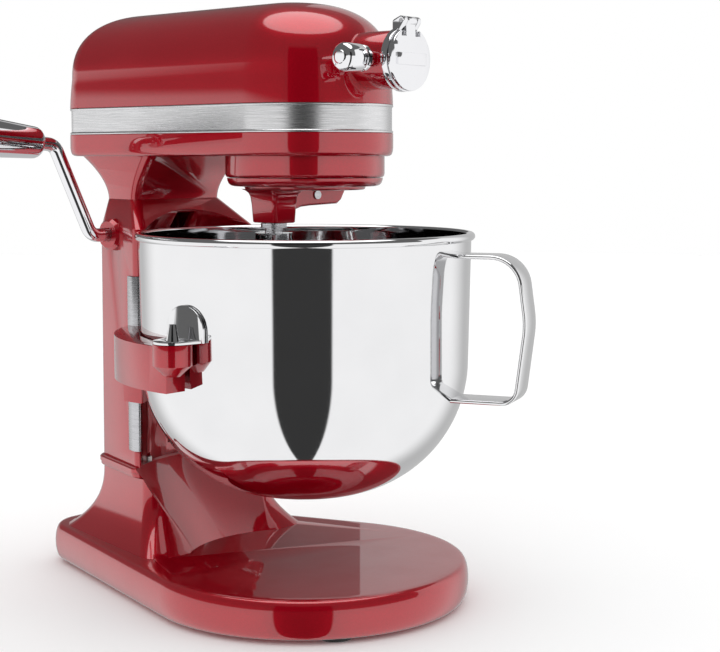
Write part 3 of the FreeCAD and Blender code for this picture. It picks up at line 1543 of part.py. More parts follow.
def lift_rod():
    """The rod that hangs on the crank's pin and lifts the support by the nut at its foot."""
    foot = CRANK_Z - mm.lift_rod_length
    rod = cylinder(mm.lift_rod_radius, mm.lift_rod_length - 3, (CRANK_X, 0, foot))
    half = CRANK_FACE - 0.5
    eye = cylinder(EYE_RADIUS, half * 2, (CRANK_X, -half, CRANK_Z), "Y")
    nut = cylinder(mm.lift_nut_radius, mm.lift_nut_height, (CRANK_X, 0, foot))
    pin_hole = cylinder(mm.crank_pin_radius + mm.running_gap, 10, (CRANK_X, -5, CRANK_Z), "Y")
    return cut(fuse(rod, eye, nut), pin_hole)


def lift_spring():
    """The spring on the rod between its nut and the support's lug."""
    wire = 0.9
    start = CRANK_Z - mm.lift_rod_length + mm.lift_nut_height + wire
    top = mm.support_top - mm.lug_drop - mm.lug_thickness - 2.5 - wire
    coil = spring(float(mm.lift_rod_radius) + 1.5, wire, float(top - start), 4)
    return made(coil, (CRANK_X, 0, start))


# ---------------------------------------------------------------- dough hook


def slot_bar(angle, bottom, top):
    """A straight slot across the hook's collar, turned from the pin's own direction by an angle."""
    half, reach = mm.agitator_pin_radius + 0.3, mm.hook_collar_radius + 1
    turn = Rotation(Vector(0, 0, 1), angle)
    offset = turn.multVec(Vector(-float(half), -float(reach), 0))
    bar = bind(doc.addObject("Part::Box", "Bar"), Length=half * 2, Width=reach * 2, Height=top - bottom)
    return place(bar, (ECCENTRIC + offset.x, offset.y, bottom), turn)


def hook_rod():
    """The hook's rod: one turn of a coil that opens from the collar's axis and closes on it again."""
    top = float(mm.agitator_pin_height + 8 - mm.hook_collar_height) + 5
    bottom = float(mm.hook_bottom + mm.hook_rod_radius)
    centre, widest, steps = float(ECCENTRIC), float(mm.hook_radius), 15
    points = []
    for step in range(steps + 1):
        share = step / steps
        radius = widest * math.sin(math.pi * share) ** 0.65
        angle = math.radians(HOOK_START - HOOK_SWEEP * share)
        height = top + (bottom - top) * share
        points.append(Vector(centre + radius * math.cos(angle), radius * math.sin(angle), height))
    return made(bent_rod(points, float(mm.hook_rod_radius), 16))


def dough_hook():
    """A spiral dough hook: a collar with a bayonet slot and a rod of one turn."""
    pin_z, pin_room = mm.agitator_pin_height, mm.agitator_pin_radius + 0.3
    top, radius = pin_z + 8, mm.hook_collar_radius
    heel_bottom = top - mm.hook_collar_height
    collar = cylinder(radius, mm.hook_collar_height - 8, (ECCENTRIC, 0, heel_bottom + 8))
    heel = cone(radius - 4, radius, 8, (ECCENTRIC, 0, heel_bottom))
    tip = sphere(mm.hook_rod_radius, (ECCENTRIC, 0, mm.hook_bottom + mm.hook_rod_radius))
    bore_bottom = mm.agitator_bottom - 1
    bore_radius = mm.agitator_radius + mm.running_gap
    bore = cylinder(bore_radius, top + 1 - bore_bottom, (ECCENTRIC, 0, bore_bottom))
    slots = [
        slot_bar(0, pin_z - pin_room, pin_z + pin_room),
        slot_bar(-HOOK_TWIST, pin_z - pin_room, top + 1),
    ]
    for start in (90 - HOOK_TWIST, 270 - HOOK_TWIST):
        turn = Rotation(Vector(0, 0, 1), start)
        sector = bind(doc.addObject("Part::Cylinder", "Sector"), Radius=radius + 1, Height=pin_room * 2)
        sector.Angle = HOOK_TWIST
        slots.append(place(sector, (ECCENTRIC, 0, pin_z - pin_room), turn))
    return at_planet(cut(fuse(collar, heel, hook_rod(), tip), bore, *slots))


# ---------------------------------------------------------------- the pieces, body by body

node("base_casting", base_casting())
node("rubber_feet", rubber_feet())
node("column_casting", column_casting())
node("column_screws", column_screws())
node("guide_strips", group(guide_strip(1), guide_strip(-1)))
node("lever_bush", lever_bush())
node("gear_case", gear_case())
node("motor_housing", motor_housing())
node("trim_band", trim_band())
node("drip_ring", drip_ring())
node("cord_grommet", cord_grommet())
node("hub_ring", hub_ring())
node("hub_bearing", hub_bearing())
node("hub_hinge_pin", cylinder(mm.hub_pin_radius, 18, (HINGE_X, -9, HINGE_Z), "Y"))
node("main_shaft_bush", main_shaft_bush())
node("ring_gear", ring_gear())
node("ring_gear_screws", ring_gear_screws())
node("gear_bracket", gear_bracket())
node("layshaft_bearings", layshaft_bearings())
node("motor_stator", motor_stator())
node("motor_front_plate", motor_plate(mm.motor_front))
node("motor_rear_plate", motor_plate(mm.motor_front + mm.motor_length + mm.motor_plate))
node("motor_bearings", motor_bearings())
node("control_board", control_board())
node("speed_plate", speed_plate())
node("hub_spindle", hub_spindle())
node("hub_gear", made(bevel_pinion(5.0), (0, 0, mm.hub_height), "-X"))
node("hub_cover", hub_cover())
node("attachment_knob", attachment_knob())
node("speed_slider", speed_slider())
node("speed_knob", speed_knob())
node("planetary_housing", planetary_housing())
node("roll_pin", roll_pin())
node("main_shaft", main_shaft())
node("centre_gear", centre_gear())
node("agitator_bushes", agitator_bushes())
node("agitator_shaft", agitator_shaft())
node("agitator_pinion", agitator_pinion())
node("shaft_pin", shaft_pin())
node("dough_hook", dough_hook())
node("layshaft", layshaft())
node("layshaft_gear", layshaft_gear())
node("rotor_shaft", rotor_shaft())
node("rotor_core", rotor_core())
node("motor_pinion", motor_pinion())
node("cooling_fan", cooling_fan())
node("lever_shaft", lever_shaft())
node("lever_arm", lever_arm())
node("lever_grip", lever_grip())
node("crank_arm", crank_arm())
node("lift_rod", lift_rod())
node("lift_spring", lift_spring())
node("bowl_support", bowl_support())
node("locating_pins", locating_pins())
node("bowl_latch_spring", bowl_latch_spring())
node("bowl", bowl())
node("bowl_handle", bowl_handle())
node("bowl_bracket_left", bowl_bracket(1))
node("bowl_bracket_right", bowl_bracket(-1))
node("bowl_latch_stud", bowl_latch_stud())

doc.recompute()
faults = [thing.Name for thing in doc.Objects if {"Invalid", "Error"} & set(thing.State)]
faults += [piece.Label for piece in NODES if piece.Shape.isNull() or not piece.Shape.isValid()]
if faults:
    raise RuntimeError(f"these could not be built: {', '.join(faults)}")
os.makedirs("parts", exist_ok=True)
for piece in NODES:
    piece.Shape.exportStep(os.path.join("parts", f"{piece.Label}.step"))
print(f"{len(NODES)} pieces written")
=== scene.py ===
"""Looks of a bowl-lift stand mixer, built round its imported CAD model.

Everything is in metres: +Z up, +X towards the attachment hub, +Y the mixer's left. The origin is on
the counter, straight below the axis of the bowl.
"""

import json
import logging
import math
from dataclasses import dataclass
from enum import Enum
from typing import Callable, Iterable, Sequence

import bmesh
import bpy
from mathutils import Matrix, Vector

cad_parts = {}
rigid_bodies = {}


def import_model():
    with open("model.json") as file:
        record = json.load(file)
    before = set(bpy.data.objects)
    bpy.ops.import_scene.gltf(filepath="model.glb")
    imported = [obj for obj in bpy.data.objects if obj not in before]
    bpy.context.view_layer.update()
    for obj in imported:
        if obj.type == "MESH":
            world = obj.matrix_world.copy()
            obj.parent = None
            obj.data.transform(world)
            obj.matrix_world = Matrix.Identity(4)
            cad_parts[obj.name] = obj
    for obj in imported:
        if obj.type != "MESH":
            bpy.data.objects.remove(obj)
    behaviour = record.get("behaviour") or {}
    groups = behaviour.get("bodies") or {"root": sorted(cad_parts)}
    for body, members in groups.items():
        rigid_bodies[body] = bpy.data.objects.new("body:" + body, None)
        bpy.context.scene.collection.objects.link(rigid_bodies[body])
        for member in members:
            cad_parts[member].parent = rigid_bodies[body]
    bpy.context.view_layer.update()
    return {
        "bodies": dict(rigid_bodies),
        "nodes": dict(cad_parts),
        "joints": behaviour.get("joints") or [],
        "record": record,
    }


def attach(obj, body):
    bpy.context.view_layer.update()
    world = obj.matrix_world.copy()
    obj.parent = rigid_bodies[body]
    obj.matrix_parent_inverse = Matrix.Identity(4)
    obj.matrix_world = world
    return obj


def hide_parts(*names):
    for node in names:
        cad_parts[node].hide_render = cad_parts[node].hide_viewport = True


LOG = logging.getLogger("stand_mixer")
Circle = tuple[float, float, float]
Ring = list[Vector]


# ---------------------------------------------------------------- modelling helpers


def clear_selection() -> None:
    """Leave edit mode and deselect every object."""
    if bpy.context.object and bpy.context.object.mode != "OBJECT":
        bpy.ops.object.mode_set(mode="OBJECT")
    bpy.ops.object.select_all(action="DESELECT")


def make_active(piece: bpy.types.Object) -> None:
    """Select one object alone and make it the active one."""
    clear_selection()
    piece.select_set(True)
    bpy.context.view_layer.objects.active = piece


def hull_ring(circles: Sequence[Circle], height: float, count: int = 96) -> Ring:
    """Go once round the outline drawn tight round some circles.

    Args:
        circles: Each circle as (x, y, radius).
        height: The ring's place along Z.
        count: How many points the ring has.

    Returns:
        The points, one for each direction that the outline faces.
    """
    ring = []
    for step in range(count):
        angle = 2 * math.pi * (step + 0.5) / count
        way = Vector((math.cos(angle), math.sin(angle), 0))
        x, y, radius = max(circles, key=lambda c: c[0] * way.x + c[1] * way.y + c[2])
        ring.append(Vector((x, y, height)) + way * max(radius, 0.0))
    return ring


def round_ring(radius: float, height: float, count: int = 96) -> Ring:
    """Go once round a circle that lies flat with its centre on the Z axis."""
    return hull_ring([(0, 0, radius)], height, count)


def lofted(name: str, rings: Sequence[Ring], closed: bool = True) -> bpy.types.Object:
    """Model a skin through rings of points: a circle, extruded and reshaped ring by ring.

    Args:
        name: The piece's name.
        rings: The rings in order, all with the same number of points.
        closed: Whether both ends get a face.

    Returns:
        The new object, at the origin.
    """
    clear_selection()
    bpy.ops.mesh.primitive_circle_add(vertices=len(rings[0]), radius=1.0, location=(0, 0, 0))
    piece = bpy.context.active_object
    piece.name = piece.data.name = name
    bpy.ops.object.mode_set(mode="EDIT")
    bpy.ops.mesh.select_mode(type="VERT")
    mesh = bmesh.from_edit_mesh(piece.data)
    loop = list(mesh.verts)
    for vertex, point in zip(loop, rings[0]):
        vertex.co = point
    for ring in rings[1:]:
        bpy.ops.mesh.select_all(action="DESELECT")
        for vertex in loop:
            vertex.select = True
        mesh.select_flush(True)
        bpy.ops.mesh.extrude_region_move()
        mesh = bmesh.from_edit_mesh(piece.data)
        loop = [
            next(edge.other_vert(old) for edge in old.link_edges if edge.other_vert(old).select)
            for old in loop
        ]
        for vertex, point in zip(loop, ring):
            vertex.co = point
    if closed:
        bpy.ops.mesh.select_all(action="DESELECT")
        for vertex in loop:
            vertex.select = True
        mesh.select_flush(True)
        bpy.ops.mesh.edge_face_add()
        bpy.ops.mesh.select_all(action="DESELECT")
        bpy.ops.mesh.select_non_manifold()
        bpy.ops.mesh.edge_face_add()
    tidy_mesh()
    bpy.ops.object.mode_set(mode="OBJECT")
    return piece


def tidy_mesh(gap: float = 0.00001) -> None:
    """In edit mode, merge points that meet and turn every face outwards."""
    bpy.ops.mesh.select_all(action="SELECT")
    bpy.ops.mesh.remove_doubles(threshold=gap)
    bpy.ops.mesh.dissolve_degenerate(threshold=gap / 10)
    bpy.ops.mesh.select_all(action="SELECT")
    bpy.ops.mesh.normals_make_consistent(inside=False)


def spun(name: str, profile: Sequence[tuple[float, float]], count: int = 96) -> bpy.types.Object:
    """Turn a closed profile about the Z axis.

    Args:
        name: The piece's name.
        profile: The profile as (radius, height) points, from the axis round to the axis.
        count: How many steps the turn has.

    Returns:
        The new object.
    """
    return lofted(name, [round_ring(radius, height, count) for radius, height in profile])


def pipe(name: str, outer: Sequence[tuple[float, float]], count: int = 96) -> bpy.types.Object:
    """Turn a closed loop of (radius, height) points about the Z axis, so that it leaves a hole."""
    rings = [round_ring(radius, height, count) for radius, height in outer]
    return lofted(name, rings + [rings[0]], closed=False)


def turned(piece: bpy.types.Object, matrix: Matrix) -> bpy.types.Object:
    """Put a piece's mesh where a matrix says, and leave its object at the origin."""
    make_active(piece)
    bpy.ops.object.mode_set(mode="EDIT")
    mesh = bmesh.from_edit_mesh(piece.data)
    bmesh.ops.transform(mesh, matrix=matrix, verts=mesh.verts)
    bpy.ops.mesh.select_all(action="SELECT")
    bpy.ops.mesh.normals_make_consistent(inside=False)
    bpy.ops.object.mode_set(mode="OBJECT")
    return piece


def facing(way: str, spot: Sequence[float]) -> Matrix:
    """A matrix that turns +Z to a named axis and moves the origin to a spot."""
    turns = {
        "X": Matrix.Rotation(math.radians(90), 4, "Y"),
        "-X": Matrix.Rotation(math.radians(-90), 4, "Y"),
        "Y": Matrix.Rotation(math.radians(-90), 4, "X"),
        "-Y": Matrix.Rotation(math.radians(90), 4, "X"),
        "Z": Matrix.Identity(4),
    }
    return Matrix.Translation(Vector(spot)) @ turns[way]


def use_modifier(piece: bpy.types.Object, kind: str, **settings: object) -> bpy.types.Object:
    """Add a modifier with some settings and apply it.

    Args:
        piece: The object to change.
        kind: The modifier's type.
        settings: Values for the modifier's own properties.

    Returns:
        The same object.
    """
    make_active(piece)
    modifier = piece.modifiers.new(kind.title(), kind)
    for name, value in settings.items():
        setattr(modifier, name, value)
    bpy.ops.object.modifier_apply(modifier=modifier.name)
    return piece


def combined(piece: bpy.types.Object, others: Iterable[bpy.types.Object], way: str) -> bpy.types.Object:
    """Join others to a piece, or cut them from it, and remove them.

    Args:
        piece: The object that stays.
        others: The objects that are used up.
        way: UNION, DIFFERENCE or INTERSECT.

    Returns:
        The same object.
    """
    for other in others:
        use_modifier(piece, "BOOLEAN", operation=way, object=other, solver="EXACT")
        bpy.data.objects.remove(other)
    return piece


def softened(
    piece: bpy.types.Object, width: float, segments: int = 3, angle: float = 30
) -> bpy.types.Object:
    """Round a piece's sharp edges by a width."""
    return use_modifier(
        piece,
        "BEVEL",
        width=width,
        segments=segments,
        limit_method="ANGLE",
        angle_limit=math.radians(angle),
        use_clamp_overlap=True,
    )


def smooth(piece: bpy.types.Object, angle: float = 35) -> bpy.types.Object:
    """Shade a piece smooth, apart from edges sharper than an angle."""
    make_active(piece)
    bpy.ops.object.shade_smooth_by_angle(angle=math.radians(angle))
    return piece


def copied(node: str, name: str, width: float, angle: float = 32) -> bpy.types.Object:
    """Model a piece from a CAD node's own faces, with its sharp edges rounded.

    Args:
        node: The CAD node.
        name: The new piece's name.
        width: How wide the rounding is.
        angle: Edges sharper than this many degrees are rounded.

    Returns:
        The new object.
    """
    source = FRAME["nodes"][node]
    clear_selection()
    piece = source.copy()
    piece.data = source.data.copy()
    piece.parent = None
    piece.matrix_world = Matrix.Identity(4)
    for key in list(piece.keys()):
        del piece[key]
    bpy.context.scene.collection.objects.link(piece)
    piece.name = piece.data.name = name
    piece.data.materials.clear()
    make_active(piece)
    bpy.ops.object.mode_set(mode="EDIT")
    bpy.ops.mesh.customdata_custom_splitnormals_clear()
    tidy_mesh(0.000005)
    bpy.ops.mesh.dissolve_limited(angle_limit=math.radians(0.6))
    bpy.ops.object.mode_set(mode="OBJECT")
    if width:
        softened(piece, width, 2, angle)
    return smooth(piece, angle)


def rod_between(
    name: str, radius: float, start: Sequence[float], length: float, way: str
) -> bpy.types.Object:
    """A round bar from a spot along a named axis."""
    bar = spun(name, [(radius, 0.0), (radius, length)], 64)
    return turned(bar, facing(way, start))


def rounded_route(corners: Sequence[Vector], radii: Sequence[float], steps: int = 8) -> Ring:
    """Round the corners of a route.

    Args:
        corners: The route's corners.
        radii: The bend's radius at each inner corner.
        steps: How many points each bend has.

    Returns:
        The points of the rounded route.
    """
    route = [Vector(corners[0])]
    for before, corner, after, radius in zip(corners, corners[1:], corners[2:], radii):
        inward = (Vector(before) - Vector(corner)).normalized()
        outward = (Vector(after) - Vector(corner)).normalized()
        half = inward.angle(outward) / 2
        reach = radius / math.tan(half)
        middle = Vector(corner) + (inward + outward).normalized() * radius / math.sin(half)
        start = (Vector(corner) + inward * reach - middle).normalized()
        end = (Vector(corner) + outward * reach - middle).normalized()
        route += [middle + start.slerp(end, step / steps) * radius for step in range(steps + 1)]
    return route + [Vector(corners[-1])]


def swept(name: str, route: Ring, section: Callable[[float], Ring], up: Vector) -> bpy.types.Object:
    """Carry a section along a route.

    Args:
        name: The piece's name.
        route: The route's points.
        section: Gives the section's points, across and up, for a share of the way from 0 to 1.
        up: The section's up direction at the start.

    Returns:
        The new object.
    """
    rings = []
    last_up = up
    for place, point in enumerate(route):
        ahead = route[min(place + 1, len(route) - 1)] - route[max(place - 1, 0)]
        ahead.normalize()
        last_up = (last_up - ahead * last_up.dot(ahead)).normalized()
        across = ahead.cross(last_up)
        shape = section(place / (len(route) - 1))
        rings.append([point + across * p.x + last_up * p.y for p in shape])
    return lofted(name, rings)


def round_section(radius: float, count: int = 32) -> Ring:
    """A circle for sweeping."""
    return [
        Vector((math.cos(2 * math.pi * s / count), math.sin(2 * math.pi * s / count), 0)) * radius
        for s in range(count)
    ]


# ---------------------------------------------------------------- node groups and finishes


class Pattern(Enum):
    """The procedural patterns that more than one finish uses."""

    GRAIN = "Stretched grain"
    SMUDGE = "Soft smudges"
    FLAKE = "Fine flakes"


def pattern_group(pattern: Pattern) -> bpy.types.NodeTree:
    """The node group of a pattern, built once.

    Args:
        pattern: Which pattern.

    Returns:
        A group with a Vector, a Scale, a Low and a High input, and a Value output.
    """
    found = bpy.data.node_groups.get(pattern.value)
    if found:
        return found
    tree = bpy.data.node_groups.new(pattern.value, "ShaderNodeTree")
    tree.interface.new_socket(name="Vector", in_out="INPUT", socket_type="NodeSocketVector")
    for label, default in (("Scale", 10.0), ("Low", 0.0), ("High", 1.0)):
        socket = tree.interface.new_socket(name=label, in_out="INPUT", socket_type="NodeSocketFloat")
        socket.default_value = default
    tree.interface.new_socket(name="Value", in_out="OUTPUT", socket_type="NodeSocketFloat")
    inputs = tree.nodes.new("NodeGroupInput")
    outputs = tree.nodes.new("NodeGroupOutput")
    if pattern is Pattern.FLAKE:
        source = tree.nodes.new("ShaderNodeTexVoronoi")
        source.feature = "F1"
        value = source.outputs["Color"]
    else:
        source = tree.nodes.new("ShaderNodeTexNoise")
        source.inputs["Detail"].default_value = 5.0 if pattern is Pattern.GRAIN else 3.0
        source.inputs["Roughness"].default_value = 0.65 if pattern is Pattern.GRAIN else 0.5
        value = source.outputs["Fac"]
    spread = tree.nodes.new("ShaderNodeMapRange")
    spread.inputs["From Min"].default_value = 0.0 if pattern is Pattern.FLAKE else 0.3
    spread.inputs["From Max"].default_value = 1.0 if pattern is Pattern.FLAKE else 0.7
    tree.links.new(inputs.outputs["Vector"], source.inputs["Vector"])
    tree.links.new(inputs.outputs["Scale"], source.inputs["Scale"])
    tree.links.new(value, spread.inputs["Value"])
    tree.links.new(inputs.outputs["Low"], spread.inputs["To Min"])
    tree.links.new(inputs.outputs["High"], spread.inputs["To Max"])
    tree.links.new(spread.outputs["Result"], outputs.inputs["Value"])
    return tree


class Surface:
    """A material's node tree, with short calls for adding and joining nodes."""

    def __init__(self, name: str) -> None:
        """Start an empty material with one Principled BSDF."""
        self.material = bpy.data.materials.new(name)
        self.material.use_nodes = True
        self.tree = self.material.node_tree
        self.tree.nodes.clear()
        self.shader = self.tree.nodes.new("ShaderNodeBsdfPrincipled")
        output = self.tree.nodes.new("ShaderNodeOutputMaterial")
        self.tree.links.new(self.shader.outputs["BSDF"], output.inputs["Surface"])
        self.place = self.tree.nodes.new("ShaderNodeTexCoord").outputs["Object"]

    def stretched(self, scale: Sequence[float]) -> bpy.types.NodeSocket:
        """Object coordinates multiplied by three factors."""
        mapping = self.tree.nodes.new("ShaderNodeMapping")
        mapping.inputs["Scale"].default_value = scale
        self.tree.links.new(self.place, mapping.inputs["Vector"])
        return mapping.outputs["Vector"]

    def pattern(
        self, pattern: Pattern, scale: float, low: float, high: float, stretch: Sequence[float] = (1, 1, 1)
    ) -> bpy.types.NodeSocket:
        """Place a shared pattern in the material.

        Args:
            pattern: Which pattern.
            scale: Its scale, in repeats per metre.
            low: Its lowest value.
            high: Its highest value.
            stretch: How much denser it is along X, Y and Z.

        Returns:
            The pattern's value.
        """
        node = self.tree.nodes.new("ShaderNodeGroup")
        node.node_tree = pattern_group(pattern)
        self.tree.links.new(self.stretched(stretch), node.inputs["Vector"])
        for label, value in (("Scale", scale), ("Low", low), ("High", high)):
            node.inputs[label].default_value = value
        return node.outputs["Value"]

    def blend(
        self, amount: bpy.types.NodeSocket, first: Sequence[float], second: Sequence[float]
    ) -> bpy.types.NodeSocket:
        """A colour between two, by an amount."""
        node = self.tree.nodes.new("ShaderNodeMix")
        node.data_type = "RGBA"
        self.tree.links.new(amount, node.inputs["Factor"])
        for socket in node.inputs:
            if socket.type == "RGBA":
                socket.default_value = (*(first if socket.name == "A" else second), 1.0)
        return next(socket for socket in node.outputs if socket.type == "RGBA")

    def bump(self, height: bpy.types.NodeSocket, strength: float, depth: float) -> None:
        """Raise the surface by a height pattern."""
        node = self.tree.nodes.new("ShaderNodeBump")
        node.inputs["Strength"].default_value = strength
        node.inputs["Distance"].default_value = depth
        self.tree.links.new(height, node.inputs["Height"])
        self.tree.links.new(node.outputs["Normal"], self.shader.inputs["Normal"])

    def set(self, **values: float) -> None:
        """Set sockets of the shader to plain values, named with underscores for spaces."""
        for name, value in values.items():
            self.shader.inputs[name.replace("_", " ")].default_value = value

    def feed(self, name: str, socket: bpy.types.NodeSocket) -> None:
        """Join a value to one of the shader's sockets."""
        self.tree.links.new(socket, self.shader.inputs[name])


@dataclass(frozen=True)
class Enamel:
    """Translucent red enamel over a fine metallic base, under a clear gloss coat."""

    name: str = "candy_red_enamel"
    deep: tuple[float, float, float] = (0.33, 0.000, 0.007)
    bright: tuple[float, float, float] = (0.48, 0.001, 0.013)

    def material(self) -> bpy.types.Material:
        """Build the material."""
        surface = Surface(self.name)
        flakes = surface.pattern(Pattern.FLAKE, 1400.0, 0.35, 0.75)
        surface.feed("Base Color", surface.blend(flakes, self.deep, self.bright))
        surface.feed("Roughness", surface.pattern(Pattern.SMUDGE, 30.0, 0.28, 0.36))
        surface.set(Metallic=0.55, Specular_IOR_Level=0.1)
        surface.set(Coat_Weight=1.0, Coat_Roughness=0.02, Coat_IOR=1.8)
        surface.bump(surface.pattern(Pattern.SMUDGE, 420.0, 0.0, 1.0), 0.05, 0.0002)
        return surface.material


@dataclass(frozen=True)
class PolishedMetal:
    """Steel or chrome plate polished to a mirror, with faint smudges and hairlines."""

    name: str
    colour: tuple[float, float, float] = (0.80, 0.80, 0.82)
    low: float = 0.03
    high: float = 0.07
    stretch: tuple[float, float, float] = (1.0, 1.0, 14.0)

    def material(self) -> bpy.types.Material:
        """Build the material."""
        surface = Surface(self.name)
        hairline = surface.pattern(Pattern.GRAIN, 160.0, self.low, self.high, self.stretch)
        surface.feed("Roughness", hairline)
        shade = surface.pattern(Pattern.SMUDGE, 22.0, 0.0, 1.0)
        darker = tuple(part * 0.96 for part in self.colour)
        surface.feed("Base Color", surface.blend(shade, self.colour, darker))
        surface.set(Metallic=1.0)
        return surface.material


@dataclass(frozen=True)
class BrushedMetal:
    """Metal brushed along one axis."""

    name: str
    colour: tuple[float, float, float]
    stretch: tuple[float, float, float] = (1.0, 1.0, 30.0)
    rough: float = 0.30
    scale: float = 90.0
    depth: float = 0.15

    def material(self) -> bpy.types.Material:
        """Build the material."""
        surface = Surface(self.name)
        grain = surface.pattern(Pattern.GRAIN, self.scale, 0.0, 1.0, self.stretch)
        darker = tuple(part * 0.84 for part in self.colour)
        surface.feed("Base Color", surface.blend(grain, self.colour, darker))
        low, high = self.rough - 0.06, self.rough + 0.08
        rough = surface.pattern(Pattern.GRAIN, self.scale, low, high, self.stretch)
        surface.feed("Roughness", rough)
        surface.set(Metallic=1.0)
        surface.bump(grain, self.depth, 0.0001)
        return surface.material


@dataclass(frozen=True)
class CastMetal:
    """Plain cast or sintered metal with a fine uneven skin."""

    name: str
    colour: tuple[float, float, float]
    rough: float = 0.45

    def material(self) -> bpy.types.Material:
        """Build the material."""
        surface = Surface(self.name)
        skin = surface.pattern(Pattern.SMUDGE, 260.0, 0.0, 1.0)
        darker = tuple(part * 0.72 for part in self.colour)
        surface.feed("Base Color", surface.blend(skin, self.colour, darker))
        low, high = self.rough - 0.08, self.rough + 0.1
        surface.feed("Roughness", surface.pattern(Pattern.SMUDGE, 60.0, low, high))
        surface.set(Metallic=0.9)
        surface.bump(skin, 0.3, 0.0003)
        return surface.material


@dataclass(frozen=True)
class Moulded:
    """Moulded rubber or plastic with a fine matt skin."""

    name: str
    colour: tuple[float, float, float]
    rough: float = 0.6

    def material(self) -> bpy.types.Material:
        """Build the material."""
        surface = Surface(self.name)
        skin = surface.pattern(Pattern.SMUDGE, 900.0, 0.0, 1.0)
        lighter = tuple(part * 1.5 + 0.01 for part in self.colour)
        surface.feed("Base Color", surface.blend(skin, self.colour, lighter))
        low, high = self.rough - 0.07, self.rough + 0.07
        surface.feed("Roughness", surface.pattern(Pattern.SMUDGE, 40.0, low, high))
        surface.bump(skin, 0.2, 0.0002)
        return surface.material


FINISHES = {
    "red_paint": Enamel(),
    "brushed_band": BrushedMetal("brushed_band", (0.78, 0.78, 0.79), (0.4, 0.4, 22.0), 0.27, 120.0, 0.08),
    "polished_steel": PolishedMetal("mirror_steel", (0.82, 0.82, 0.83)),
    "chrome": PolishedMetal("chrome_plate", (0.84, 0.84, 0.86), 0.02, 0.05, (1.0, 1.0, 1.0)),
    "bright_steel": BrushedMetal("machined_steel", (0.60, 0.60, 0.62), (1.0, 1.0, 12.0), 0.24),
    "spring_steel": BrushedMetal("spring_steel", (0.42, 0.43, 0.45), (10.0, 1.0, 1.0), 0.32),
    "screw_steel": BrushedMetal("zinc_screw_steel", (0.52, 0.52, 0.50), (1.0, 1.0, 6.0), 0.35),
    "gear_steel": BrushedMetal("gear_steel", (0.32, 0.31, 0.30), (6.0, 6.0, 1.0), 0.30),
    "core_steel": BrushedMetal("core_sheets", (0.28, 0.28, 0.30), (40.0, 1.0, 1.0), 0.42, 120.0, 0.5),
    "cast_aluminium": CastMetal("cast_aluminium", (0.62, 0.62, 0.63)),
    "bronze": CastMetal("sintered_bronze", (0.55, 0.36, 0.15), 0.38),
    "black_rubber": Moulded("black_rubber", (0.02, 0.02, 0.02), 0.7),
    "black_plastic": Moulded("black_plastic", (0.03, 0.03, 0.03), 0.5),
    "board_green": Moulded("board_green", (0.02, 0.12, 0.05), 0.4),
}
MATERIALS: dict[str, bpy.types.Material] = {}
FRAME: dict = {}


def finish(slot: str) -> bpy.types.Material:
    """The material of one of the record's slots, built once."""
    if slot not in MATERIALS:
        MATERIALS[slot] = FINISHES[slot].material()
    return MATERIALS[slot]


def dress(piece: bpy.types.Object, body: str, slot: str, *nodes: str) -> bpy.types.Object:
    """Give a new piece its finish, its body and the CAD nodes that it stands for.

    Args:
        piece: The finished mesh.
        body: The CAD body that it rides on.
        slot: The record's material slot.
        nodes: The CAD nodes that it replaces.

    Returns:
        The same object.
    """
    piece.data.materials.clear()
    piece.data.materials.append(finish(slot))
    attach(piece, body)
    if nodes:
        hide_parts(*nodes)
    LOG.info("%s rides on %s", piece.name, body)
    return piece


# ---------------------------------------------------------------- base and column


